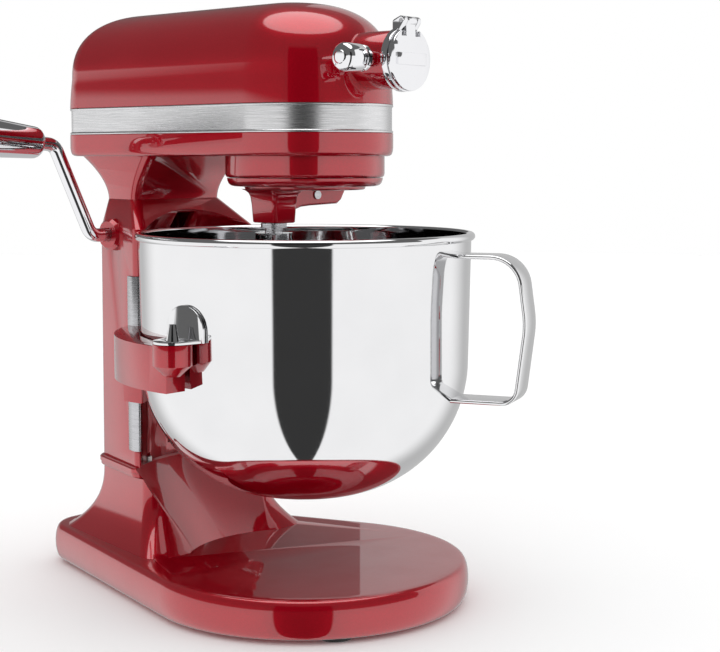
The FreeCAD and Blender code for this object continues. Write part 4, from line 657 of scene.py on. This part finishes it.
@dataclass
class Base:
    """The cast base: a thick rounded plate and the pedestal that carries the column."""

    radius: float = 0.116
    rear: float = 0.230
    rear_half_width: float = 0.058
    rear_corner: float = 0.034
    underside: float = 0.003
    plate: float = 0.0295
    bulge: float = 0.0055
    bulge_power: float = 0.75
    wall: float = 0.007
    lip: float = 0.088

    def outline(self, inset: float) -> list[Circle]:
        """The plate seen from above, drawn in by an inset."""
        corner = self.rear_corner
        x, y = -(self.rear - corner), self.rear_half_width - corner
        return [(0, 0, self.radius - inset), (x, y, corner - inset), (x, -y, corner - inset)]

    def plate_shell(self) -> bpy.types.Object:
        """The plate with its bullnose edge, hollow below."""
        rings = [hull_ring(self.outline(self.wall + 0.001), 0.022)]
        rings.append(hull_ring(self.outline(self.wall), self.underside + 0.0006))
        rings.append(hull_ring(self.outline(self.wall - 0.0006), self.underside))
        half = (self.plate - self.underside) / 2
        middle = self.underside + half
        for degrees in range(-90, 91, 12):
            angle = math.radians(degrees)
            inset = self.bulge * (1 - math.cos(angle) ** self.bulge_power)
            rings.append(hull_ring(self.outline(inset), middle + half * math.sin(angle)))
        rings.append(hull_ring(self.outline(0.010), self.plate))
        return lofted("base_plate", rings)

    def pedestal(self) -> bpy.types.Object:
        """The concave flare from the plate up to the double lip under the column."""
        column = Column()
        rings = []
        low = self.plate - 0.004
        steps = 14
        for step in range(steps + 1):
            rise = step / steps
            spread = (1 - rise) ** 2.4
            height = low + (self.lip - 0.008 - self.plate + 0.004) * rise
            rings.append(hull_ring(self.pedestal_circles(spread), height))
        step_out = 0.003
        for height, grow in (
            (self.lip - 0.0075, 0.0004),
            (self.lip - 0.0070, step_out - 0.0014),
            (self.lip - 0.0062, step_out - 0.0008),
            (self.lip - 0.0042, step_out - 0.0008),
            (self.lip - 0.0036, step_out),
            (self.lip - 0.0008, step_out),
            (self.lip, step_out - 0.0009),
        ):
            rings.append(hull_ring(column.outline(-grow), height))
        return lofted("pedestal", rings)

    def pedestal_circles(self, spread: float) -> list[Circle]:
        """The circles at the pedestal's four corners, wider where it is spread."""
        front, back = 0.048 + 0.018 * spread, 0.031 - 0.004 * spread
        front_x, front_round = -0.105 + 0.023 * spread, 0.011 + 0.006 * spread
        back_x, back_round = -0.163 - 0.034 * spread, 0.012 + 0.014 * spread
        return [
            (front_x, front, front_round),
            (back_x, back, back_round),
            (back_x, -back, back_round),
            (front_x, -front, front_round),
        ]

    def build(self) -> None:
        """Build the base; its feet keep their CAD shape."""
        plate = self.plate_shell()
        bowl_room = lofted("bowl_room", [
            round_ring(0.084, self.plate - 0.0002),
            round_ring(0.130, self.lip + 0.004),
        ])
        pedestal = combined(self.pedestal(), [bowl_room], "DIFFERENCE")
        shell = combined(plate, [pedestal], "UNION")
        shell.name = shell.data.name = "base_shell"
        smooth(shell, 38)
        dress(shell, "stand", "red_paint", "base_casting")


@dataclass
class Column:
    """The tapered column and its guides."""

    front: float = 0.107
    half_width: float = 0.060
    front_corner: float = 0.006
    rear: float = 0.175
    rear_half_width: float = 0.043
    rear_corner: float = 0.012
    casting_edge: float = 0.0012
    guide_edge: float = 0.0004

    def outline(self, inset: float) -> list[Circle]:
        """The column seen from above, drawn in by an inset."""
        front, back = self.front_corner, self.rear_corner
        return [
            (-(self.front + front), self.half_width - front, front - inset),
            (-(self.rear - back), self.rear_half_width - back, back - inset),
            (-(self.rear - back), -(self.rear_half_width - back), back - inset),
            (-(self.front + front), -(self.half_width - front), front - inset),
        ]

    def build(self) -> None:
        """Build the column's pieces."""
        shell = copied("column_casting", "column_shell", self.casting_edge)
        dress(shell, "stand", "red_paint", "column_casting")
        rails = copied("guide_strips", "guide_rails", self.guide_edge)
        dress(rails, "stand", "bright_steel", "guide_strips")


# ---------------------------------------------------------------- bowl and its support


@dataclass
class Bowl:
    """The steel bowl with its handle and brackets."""

    floor: float = 0.080
    curve_radius: float = 0.095
    curve_centre: float = 0.020
    curve_top: float = 0.172
    mouth: float = 0.117
    top: float = 0.262
    bead: float = 0.0028
    wall: float = 0.0012
    handle_angle: float = 19.0
    handle_width: float = 0.026
    handle_reach: float = 0.165
    handle_low: float = 0.148
    handle_high: float = 0.249
    handle_thick: float = 0.003
    flange_edge: float = 0.0005

    def side(self, inset: float) -> list[tuple[float, float]]:
        """The section from the middle of the floor up to the top of the belly."""
        curve = self.curve_radius - inset
        drop = self.curve_top - self.floor - inset
        start = math.asin(drop / curve)
        flat = self.curve_centre + math.sqrt(curve * curve - drop * drop)
        points = [(0.0, self.floor + inset), (flat * 0.5, self.floor + inset)]
        steps = 26
        for step in range(steps + 1):
            angle = start * (1 - step / steps)
            across = self.curve_centre + curve * math.cos(angle)
            points.append((across, self.curve_top - curve * math.sin(angle)))
        return points

    def vessel(self) -> bpy.types.Object:
        """The bowl with its rolled rim."""
        middle = self.top - self.bead
        rim = [
            (self.mouth - 0.0002 + self.bead * math.cos(angle), middle + self.bead * math.sin(angle))
            for angle in (math.radians(turn) for turn in range(-78, 169, 18))
        ]
        inside = list(reversed(self.side(self.wall)))
        inner_mouth = (self.mouth - self.wall - 0.0002, self.top - 2 * self.bead)
        profile = self.side(0.0) + [(self.mouth - 0.0001, self.top - 2 * self.bead)] + rim
        return smooth(spun("mixing_bowl", profile + [inner_mouth] + inside, 128), 50)

    def handle(self) -> bpy.types.Object:
        """The strap handle, bent from one wide band with rolled edges."""
        thick, half = self.handle_thick, self.handle_width / 2
        reach = self.handle_reach - thick / 2
        low, high = self.handle_low + thick / 2, self.handle_high - thick / 2
        corners = [
            Vector((0.1155, 0, high)),
            Vector((reach - 0.006, 0, high)),
            Vector((reach, 0, high - 0.045)),
            Vector((reach - 0.007, 0, low)),
            Vector((0.1100, 0, low)),
        ]
        route = rounded_route(corners, (0.021, 0.06, 0.011), 10)
        section = []
        edge = thick / 2
        for corner_x, start in ((half - edge, -90), (-(half - edge), 90)):
            for turn in range(start, start + 181, 30):
                angle = math.radians(turn)
                section.append(Vector((corner_x + edge * math.cos(angle), edge * math.sin(angle), 0)))
        strap = swept("handle_strap", route, lambda share: section, Vector((0, 0, 1)))
        turned(strap, Matrix.Rotation(math.radians(self.handle_angle), 4, "Z"))
        return smooth(strap, 50)

    def build(self) -> None:
        """Build the bowl, its handle and its flanges."""
        dress(self.vessel(), "bowl_unit", "polished_steel", "bowl")
        dress(self.handle(), "bowl_unit", "polished_steel", "bowl_handle")
        for side in ("left", "right"):
            node = f"bowl_bracket_{side}"
            flange = copied(node, f"bowl_flange_{side}", self.flange_edge)
            dress(flange, "bowl_unit", "polished_steel", node)


@dataclass
class Support:
    """The cradle that carries the bowl up and down the column."""

    edge: float = 0.0015

    def build(self) -> None:
        """Build the cradle; its pins keep their CAD shape."""
        cradle = copied("bowl_support", "bowl_cradle", self.edge)
        dress(cradle, "carriage", "red_paint", "bowl_support")


# ---------------------------------------------------------------- head


@dataclass
class Head:
    """The head: the lower case with its drum and neck, the upper housing and the band."""

    radius: float = 0.062
    rear: float = 0.204
    rear_half_width: float = 0.055
    rear_corner: float = 0.025
    seam: float = 0.283
    case_bottom: float = 0.315
    drum_bottom: float = 0.300
    drum_radius: float = 0.0560
    band_bottom: float = 0.331
    band_top: float = 0.3505
    top: float = 0.4215
    upright: float = 0.022
    hub_line: float = 0.379
    nose_fall: float = 0.22

    def outline(self, inset: float, set_back: float = 0.0) -> list[Circle]:
        """The head seen from above, drawn in by an inset and set back at the nose."""
        corner = max(self.rear_corner - 0.45 * inset, 0.001)
        back = self.rear - inset - corner
        side = max(self.rear_half_width - inset - corner, 0.0)
        return [
            (-set_back, 0, max(self.radius - inset, 0.0004)),
            (-back, side, corner),
            (-back, -side, corner),
        ]

    def housing(self) -> bpy.types.Object:
        """The upper housing: near-upright sides under a barrel top that falls to the nose."""
        low = self.band_top + self.upright
        rise = self.top - low
        skirt = 0.0012
        rings = [hull_ring(self.outline(skirt), self.band_top - 0.0005, 128)]
        for share in (0.0, 0.25, 0.5, 0.75, 1.0):
            inset = 0.0001 + 0.0007 * share + 0.0007 * share * share
            height = self.band_top + 0.0003 + (self.upright - 0.0003) * share
            rings.append(hull_ring(self.outline(inset, inset * self.nose_fall), height, 128))
        power = 2 / 2.45
        deepest = self.radius - 0.0035
        steps = 26
        for step in range(1, steps + 1):
            angle = math.pi / 2 * step / steps
            drawn_in = 0.0015 + (deepest - 0.0015) * (1 - max(math.cos(angle), 0.0) ** power)
            height = low + rise * math.sin(angle) ** power
            rings.append(hull_ring(self.outline(drawn_in, drawn_in * self.nose_fall), height, 128))
        return lofted("upper_housing", rings)

    def lower_case(self) -> bpy.types.Object:
        """The lower case with the drum under its nose and the neck under its rear."""
        low, high = self.case_bottom, self.band_bottom
        section = [(0.0040, low - 0.0002), (0.0022, low + 0.0002), (0.0010, low + 0.0012)]
        section += [(0.0003, low + 0.0032), (0.0000, low + 0.0060)]
        section += [(0.0000, high - 0.0004), (0.0012, high + 0.0004)]
        tray = lofted("lower_case", [
            hull_ring(self.outline(inset), height, 128) for inset, height in section
        ])
        edge = [(0.0030, 0.0), (0.0012, 0.0004), (0.0003, 0.0014), (0.0, 0.003), (0.0, 0.017)]
        drum = lofted("drum", [
            round_ring(self.drum_radius - inset, self.drum_bottom + height, 128)
            for inset, height in edge
        ])
        return smooth(combined(tray, [drum, self.neck()], "UNION"), 32)

    def neck(self) -> bpy.types.Object:
        """The neck, from its seam with the column up to the lower case."""
        start, end = self.seam, self.case_bottom + 0.002
        rings = []
        steps = 12
        for step in range(steps + 1):
            rise = step / steps
            spread = rise ** 1.8
            front_x, back_x = -0.134 + 0.022 * spread, -0.160 - 0.018 * spread
            front_y, back_y = 0.0376 + 0.0044 * spread, 0.026 + 0.002 * spread
            front_r, back_r = 0.006 + 0.002 * spread, 0.012 + 0.008 * spread
            circles = [
                (front_x, front_y, front_r),
                (back_x, back_y, back_r),
                (back_x, -back_y, back_r),
                (front_x, -front_y, front_r),
            ]
            rings.append(hull_ring(circles, start + (end - start) * rise))
        return lofted("neck", rings)

    def band(self) -> bpy.types.Object:
        """The brushed band with a raised bead along each edge."""
        low, high = self.band_bottom, self.band_top
        bead, depth = 0.0014, 0.0009
        section = [
            (0.0012, low),
            (0.0002, low + 0.0001),
            (0.0000, low + bead * 0.5),
            (0.0002, low + bead),
            (depth, low + bead * 1.35),
            (depth, high - bead * 1.35),
            (0.0002, high - bead),
            (0.0000, high - bead * 0.5),
            (0.0002, high - 0.0001),
            (0.0012, high),
        ]
        rings = [hull_ring(self.outline(inset), height, 160) for inset, height in section]
        rings += [hull_ring(self.outline(0.0022), high, 160), hull_ring(self.outline(0.0022), low, 160)]
        return smooth(lofted("trim_strip", rings + [rings[0]], closed=False), 50)

    def drip_disc(self) -> bpy.types.Object:
        """The shallow dished ring under the drum."""
        bottom, top, hole = 0.294, self.drum_bottom - 0.0002, 0.0435
        loop = [(hole, bottom + 0.0006), (hole + 0.0008, bottom)]
        loop += [(0.0500, bottom), (0.0522, bottom + 0.0006), (0.0537, bottom + 0.002)]
        loop += [(0.0545, bottom + 0.004), (0.0548, top), (hole, top)]
        return smooth(pipe("drip_disc", loop), 40)

    def build(self) -> None:
        """Build the head's pieces."""
        housing = self.housing()
        boss = turned(self.hub_boss(), facing("X", (0.030, 0, self.hub_line)))
        bore = rod_between("bore", 0.014, (0.034, 0, self.hub_line), 0.056, "X")
        knob_hole = rod_between("knob_hole", 0.0032, (0.075, -0.026, self.hub_line), 0.012, "Y")
        combined(housing, [boss], "UNION")
        combined(housing, [bore, knob_hole], "DIFFERENCE")
        dress(smooth(housing, 32), "stand", "red_paint", "motor_housing")
        dress(self.lower_case(), "stand", "red_paint", "gear_case")
        dress(self.band(), "stand", "brushed_band", "trim_band")
        dress(self.drip_disc(), "stand", "red_paint", "drip_ring")

    def hub_boss(self) -> bpy.types.Object:
        """The boss of the attachment hub, bevelled at its front end."""
        profile = [(0.0195, 0.0), (0.0195, 0.0545), (0.0190, 0.0555), (0.0175, 0.0560)]
        return spun("hub_boss", profile, 96)


# ---------------------------------------------------------------- attachment hub


@dataclass
class Hub:
    """The bright ring, the flip cover and the knob of the attachment hub."""

    line: float = 0.379
    knob_place: float = 0.075
    knob_radius: float = 0.0095
    knob_length: float = 0.024
    knob_shoulder: float = 0.0185
    ring_edge: float = 0.0006
    cover_edge: float = 0.0007

    def knob(self) -> bpy.types.Object:
        """The clamp knob: a turned head with a domed end and a groove."""
        radius, length, shoulder = self.knob_radius, self.knob_length, self.knob_shoulder
        dome_in, dome_out = 0.003, 0.004
        profile = [(0.0, 0.0), (0.0078, 0.0), (0.0088, 0.0008), (0.0088, 0.0030), (0.0080, 0.0036)]
        profile += [(0.0080, 0.0052), (0.0092, 0.0058), (radius, 0.0070), (radius, shoulder)]
        for turn in range(15, 91, 15):
            angle = math.radians(turn)
            across = radius - dome_in + dome_in * math.cos(angle)
            profile.append((across, shoulder + dome_out * math.sin(angle)))
        profile += [(0.0045, length - 0.0008), (0.0040, length - 0.0002), (0.0, length)]
        head = spun("clamp_knob", profile)
        return turned(head, facing("-Y", (self.knob_place, -0.026, self.line)))

    def build(self) -> None:
        """Build the hub's pieces."""
        knob = self.knob()
        stem = rod_between("stem", 0.003, (self.knob_place, -0.027, self.line), 0.0125, "Y")
        collar = rod_between("collar", 0.006, (self.knob_place, -0.0265, self.line), 0.0045, "Y")
        combined(knob, [collar, stem], "UNION")
        dress(smooth(knob, 40), "knob", "chrome", "attachment_knob")
        dress(copied("hub_ring", "hub_collar", self.ring_edge), "stand", "chrome", "hub_ring")
        dress(copied("hub_cover", "hub_lid", self.cover_edge), "cover", "chrome", "hub_cover")


# ---------------------------------------------------------------- planetary drive


@dataclass
class Planetary:
    """The turning head under the drum: a disc, a tapered post and the arm with the hole for the roll pin.
    """

    angle: float = -97.5
    offset: float = 0.0285
    disc_radius: float = 0.0425
    disc_bottom: float = 0.2915
    disc_top: float = 0.3005
    post_bottom: float = 0.269
    pin_height: float = 0.2885
    half: float = 0.0130

    def section(self, low: float, high: float, half: float, corner: float, height: float) -> Ring:
        """One level outline: a rectangle with rounded corners, across the planet's direction."""
        circles = [
            (x, y, corner)
            for x in (low + corner, high - corner)
            for y in (corner - half, half - corner)
        ]
        return hull_ring(circles, height, 64)

    def post(self) -> bpy.types.Object:
        """The tapered block that holds the tool's shaft, flared into the disc."""
        levels = ((0.0, 0.0007, 0.0), (0.0006, 0.0, 0.0), (0.012, 0.0, 0.0006), (0.018, 0.0, 0.0013))
        levels += ((0.0205, 0.0, 0.0022), (0.0222, 0.0, 0.0038), (0.0232, 0.0, 0.0058))
        middle = self.offset
        rings = [
            self.section(
                middle - 0.0100 - out + tuck, middle + 0.0098 + out - tuck, self.half + out - tuck,
                0.0036, self.post_bottom + rise,
            )
            for rise, tuck, out in levels
        ]
        return lofted("planet_post", rings)

    def arm(self) -> bpy.types.Object:
        """The arm from the post to the far side, deeper at the post and slanted at its end."""
        sections = []
        under = [(0.0245, 0.2755), (0.0190, 0.2783), (0.0140, 0.2799), (0.0060, 0.2806)]
        under += [(-0.0190, 0.2815), (-0.0225, 0.2840), (-0.0262, 0.2905)]
        corner, top = 0.0016, 0.2925
        for place, low in under:
            circles = [
                (y, z, corner)
                for y in (corner - self.half, self.half - corner)
                for z in (low + corner, top)
            ]
            sections.append([Vector((place, p.x, p.y)) for p in hull_ring(circles, 0.0, 64)])
        return lofted("planet_arm", sections)

    def casting(self) -> bpy.types.Object:
        """The whole planetary casting with its three holes."""
        disc = lofted("planetary_casting", [
            round_ring(self.disc_radius + grow, height)
            for height, grow in (
                (self.disc_bottom, -0.0015),
                (self.disc_bottom + 0.0004, -0.0004),
                (self.disc_bottom + 0.0014, 0.0),
                (self.disc_top, 0.0),
            )
        ])
        combined(disc, [self.post(), self.arm()], "UNION")
        shaft_start = (self.offset, 0, self.post_bottom - 0.005)
        shaft_hole = rod_between("shaft_hole", 0.0083, shaft_start, 0.045, "Z")
        pin_hole = rod_between("pin_hole", 0.0026, (0, -0.02, self.pin_height), 0.04, "Y")
        combined(disc, [shaft_hole, pin_hole], "DIFFERENCE")
        softened(disc, 0.0008, 3, 40)
        return smooth(turned(disc, Matrix.Rotation(math.radians(self.angle), 4, "Z")), 40)

    def build(self) -> None:
        """Build the planetary's pieces."""
        dress(self.casting(), "planetary", "red_paint", "planetary_housing")


# ---------------------------------------------------------------- lift lever


@dataclass
class Lever:
    """The bowl-lift lever: a bent chrome rod with a tapered grip."""

    place: float = -0.148
    height: float = 0.257
    radius: float = 0.005
    bend: float = 0.0085
    tilt: float = 5.0
    grip_length: float = 0.100
    grip_thin: float = 0.0115
    grip_thick: float = 0.0172

    def way(self) -> Vector:
        """The direction of the grip, outwards and a little up."""
        return Vector((0, -math.cos(math.radians(self.tilt)), math.sin(math.radians(self.tilt))))

    def elbow(self) -> Vector:
        """The upper bend of the rod."""
        return Vector((self.place - 0.012, -0.093, self.height + 0.066))

    def rod(self) -> bpy.types.Object:
        """The bent rod from the column to the grip."""
        start = Vector((self.place, -0.0595, self.height))
        first_bend = Vector((self.place, -0.070, self.height))
        end = self.elbow() + self.way() * 0.02
        corners = [start, first_bend, self.elbow(), end]
        route = rounded_route(corners, (self.bend, self.bend), 8)
        piece = swept("lever_rod", route, lambda share: round_section(self.radius), Vector((1, 0, 0)))
        return smooth(piece, 50)

    def grip(self) -> bpy.types.Object:
        """The tapered grip with rounded ends."""
        length, inner_round, outer_round = self.grip_length, 0.006, 0.004
        profile = [(0.0, 0.0), (0.0065, 0.0)]
        for turn in range(0, 91, 15):
            angle = math.radians(turn)
            across = self.grip_thin - inner_round * (1 - math.sin(angle))
            profile.append((across, inner_round * (1 - math.cos(angle))))
        for turn in range(0, 91, 15):
            angle = math.radians(turn)
            across = self.grip_thick - outer_round * (1 - math.cos(angle))
            profile.append((across, length - outer_round + outer_round * math.sin(angle)))
        profile += [(0.006, length), (0.0, length)]
        grip = spun("lever_handle", profile)
        start = self.elbow() + self.way() * 0.014
        turn = Matrix.Rotation(math.radians(90 - self.tilt), 4, "X")
        return smooth(turned(grip, Matrix.Translation(start) @ turn), 40)

    def boss(self) -> bpy.types.Object:
        """The small faceted boss on the column that the lever's shaft comes out of."""
        hole, outer, low, high = 0.0052, 0.0120, -0.006, 0.0048
        profile = [(hole, low), (outer, low), (outer, 0.0025), (0.0100, high), (hole, high)]
        ring = pipe("lever_boss", profile, 12)
        return smooth(turned(ring, facing("-Y", (self.place, -0.0495, self.height))), 25)

    def build(self) -> None:
        """Build the lever's pieces."""
        dress(self.boss(), "stand", "red_paint")
        dress(self.rod(), "lever", "chrome", "lever_arm")
        dress(self.grip(), "lever", "chrome", "lever_grip")


# ---------------------------------------------------------------- stage


@dataclass
class Studio:
    """The floor, the soft surroundings and the camera."""

    azimuth: float = 40.0
    lens: float = 78.0
    sensor: float = 36.0
    pitch: float = 4.0
    drop: float = 170 / 720
    stand_off: tuple[float, float, float] = (0.736, -0.817, 0.315)
    wall_top: float = 6.5
    wall_level: float = 1.15
    side_lift: float = 30.0
    roof_start: float = 58.0
    roof_level: float = 2.6
    flag_half: float = 20.0
    flag_strength: float = 0.96
    dark_level: float = 0.17
    soft_level: float = 1.45

    def floor(self) -> None:
        """A wide pale floor."""
        clear_selection()
        bpy.ops.mesh.primitive_circle_add(
            vertices=96, radius=4.0, fill_type="NGON", location=(0, 0, -0.0002)
        )
        plane = bpy.context.active_object
        plane.name = "studio_floor"
        surface = Surface("pale_floor")
        surface.feed("Base Color", surface.blend(
            surface.pattern(Pattern.SMUDGE, 3.0, 0.0, 1.0), (0.92, 0.92, 0.92), (0.94, 0.94, 0.94)
        ))
        surface.set(Roughness=0.9)
        plane.data.materials.append(surface.material)
        plane.visible_glossy = False

    def surroundings(self) -> None:
        """Bright walls below, a dark belt above them, a bright roof and a dark flag in front."""
        world = bpy.data.worlds.new("soft_studio")
        bpy.context.scene.world = world
        world.use_nodes = True
        tree = world.node_tree
        tree.nodes.clear()
        link = tree.links.new

        def math_node(way: str, first: object, second: object = 0.0) -> bpy.types.NodeSocket:
            """One arithmetic step between two values or sockets."""
            node = tree.nodes.new("ShaderNodeMath")
            node.operation = way
            for socket, value in zip(node.inputs, (first, second)):
                if isinstance(value, (int, float)):
                    socket.default_value = value
                else:
                    link(value, socket)
            return node.outputs[0]

        def step(value: object, low: float, high: float, start: float = 0.0, end: float = 1.0) -> object:
            """A smooth rise from start to end while a value goes from low to high."""
            node = tree.nodes.new("ShaderNodeMapRange")
            node.interpolation_type = "SMOOTHSTEP"
            link(value, node.inputs["Value"])
            limits = {"From Min": low, "From Max": high, "To Min": start, "To Max": end}
            for label, number in limits.items():
                node.inputs[label].default_value = number
            return node.outputs["Result"]

        direction = tree.nodes.new("ShaderNodeTexCoord").outputs["Generated"]
        split = tree.nodes.new("ShaderNodeSeparateXYZ")
        link(direction, split.inputs[0])
        x, y, z = split.outputs
        turn = math.radians(self.azimuth)
        sine, cosine = math.sin(turn), math.cos(turn)
        towards = math_node(
            "SUBTRACT", math_node("MULTIPLY", x, sine), math_node("MULTIPLY", y, cosine)
        )
        side = math_node("ADD", math_node("MULTIPLY", x, cosine), math_node("MULTIPLY", y, sine))
        around = math_node("ARCTAN2", side, towards)
        away = math_node("ABSOLUTE", around)
        height = math_node("ARCSINE", z)
        degree = math.pi / 180

        def band(value: object, low: float, high: float, soft: float) -> object:
            """One where an angle lies between two limits in degrees, with soft edges."""
            rise = step(value, (low - soft) * degree, (low + soft) * degree)
            fall = step(value, (high - soft) * degree, (high + soft) * degree, 1.0, 0.0)
            return math_node("MULTIPLY", rise, fall)

        lift = step(around, 82 * degree, 96 * degree, 0.0, self.side_lift * degree)
        walls = band(math_node("SUBTRACT", height, lift), -135.0, self.wall_top, 1.2)
        walls = math_node("MULTIPLY", walls, self.wall_level)
        overhead = math_node("MULTIPLY", band(height, self.roof_start, 95.0, 1.5), self.roof_level)
        behind = step(away, 118 * degree, 150 * degree, 1.0, 0.45)
        lit = math_node("ADD", math_node("MULTIPLY", walls, behind), overhead)
        flag = math_node(
            "MULTIPLY", band(away, -30.0, self.flag_half, 1.0), band(height, -95.0, 30.0, 4.0)
        )
        lit = math_node("ADD", lit, self.dark_level)
        unflagged = math_node("SUBTRACT", 1.0, math_node("MULTIPLY", flag, self.flag_strength))
        mirrored = math_node("MULTIPLY", lit, unflagged)
        glossy = tree.nodes.new("ShaderNodeLightPath").outputs["Is Glossy Ray"]
        soft = math_node("MULTIPLY", math_node("SUBTRACT", 1.0, glossy), self.soft_level)
        level = math_node("ADD", math_node("MULTIPLY", mirrored, glossy), soft)
        surroundings = tree.nodes.new("ShaderNodeBackground")
        link(level, surroundings.inputs["Strength"])
        backdrop = tree.nodes.new("ShaderNodeBackground")
        backdrop.inputs["Color"].default_value = (1.0, 1.0, 1.0, 1.0)
        backdrop.inputs["Strength"].default_value = 1.0
        chooser = tree.nodes.new("ShaderNodeMixShader")
        link(tree.nodes.new("ShaderNodeLightPath").outputs["Is Camera Ray"], chooser.inputs[0])
        link(surroundings.outputs[0], chooser.inputs[1])
        link(backdrop.outputs[0], chooser.inputs[2])
        output = tree.nodes.new("ShaderNodeOutputWorld")
        link(chooser.outputs[0], output.inputs["Surface"])
        bpy.context.scene.view_settings.view_transform = "Standard"

    def camera(self) -> None:
        """The camera, a little above the bowl's height and turned to the right side."""
        data = bpy.data.cameras.new("studio_camera")
        data.lens, data.sensor_width = self.lens, self.sensor
        data.shift_y = -(self.drop - math.tan(math.radians(self.pitch)) * self.lens / self.sensor)
        data.clip_start, data.clip_end = 0.01, 50.0
        camera = bpy.data.objects.new("studio_camera", data)
        camera.location = self.stand_off
        camera.rotation_euler = (math.radians(90 - self.pitch), 0, math.radians(self.azimuth))
        bpy.context.scene.collection.objects.link(camera)
        bpy.context.scene.camera = camera

    def build(self) -> None:
        """Set the stage."""
        self.floor()
        self.surroundings()
        self.camera()


def dress_frame() -> None:
    """Give every CAD node the finish of its material slot."""
    slots = {row["node"]: row["material_slot"] for row in FRAME["record"]["subparts"]}
    for name, node in FRAME["nodes"].items():
        material = finish(slots[name])
        if node.material_slots:
            for holder in node.material_slots:
                holder.material = material
        else:
            node.data.materials.append(material)


def main() -> None:
    """Build the looks round the frame."""
    logging.basicConfig(level=logging.INFO, format="%(name)s: %(message)s")
    FRAME.update(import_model())
    dress_frame()
    for part in (Base(), Column(), Bowl(), Support(), Head(), Hub(), Planetary(), Lever(), Studio()):
        LOG.info("building %s", type(part).__name__)
        part.build()


if __name__ == "__main__":
    main()
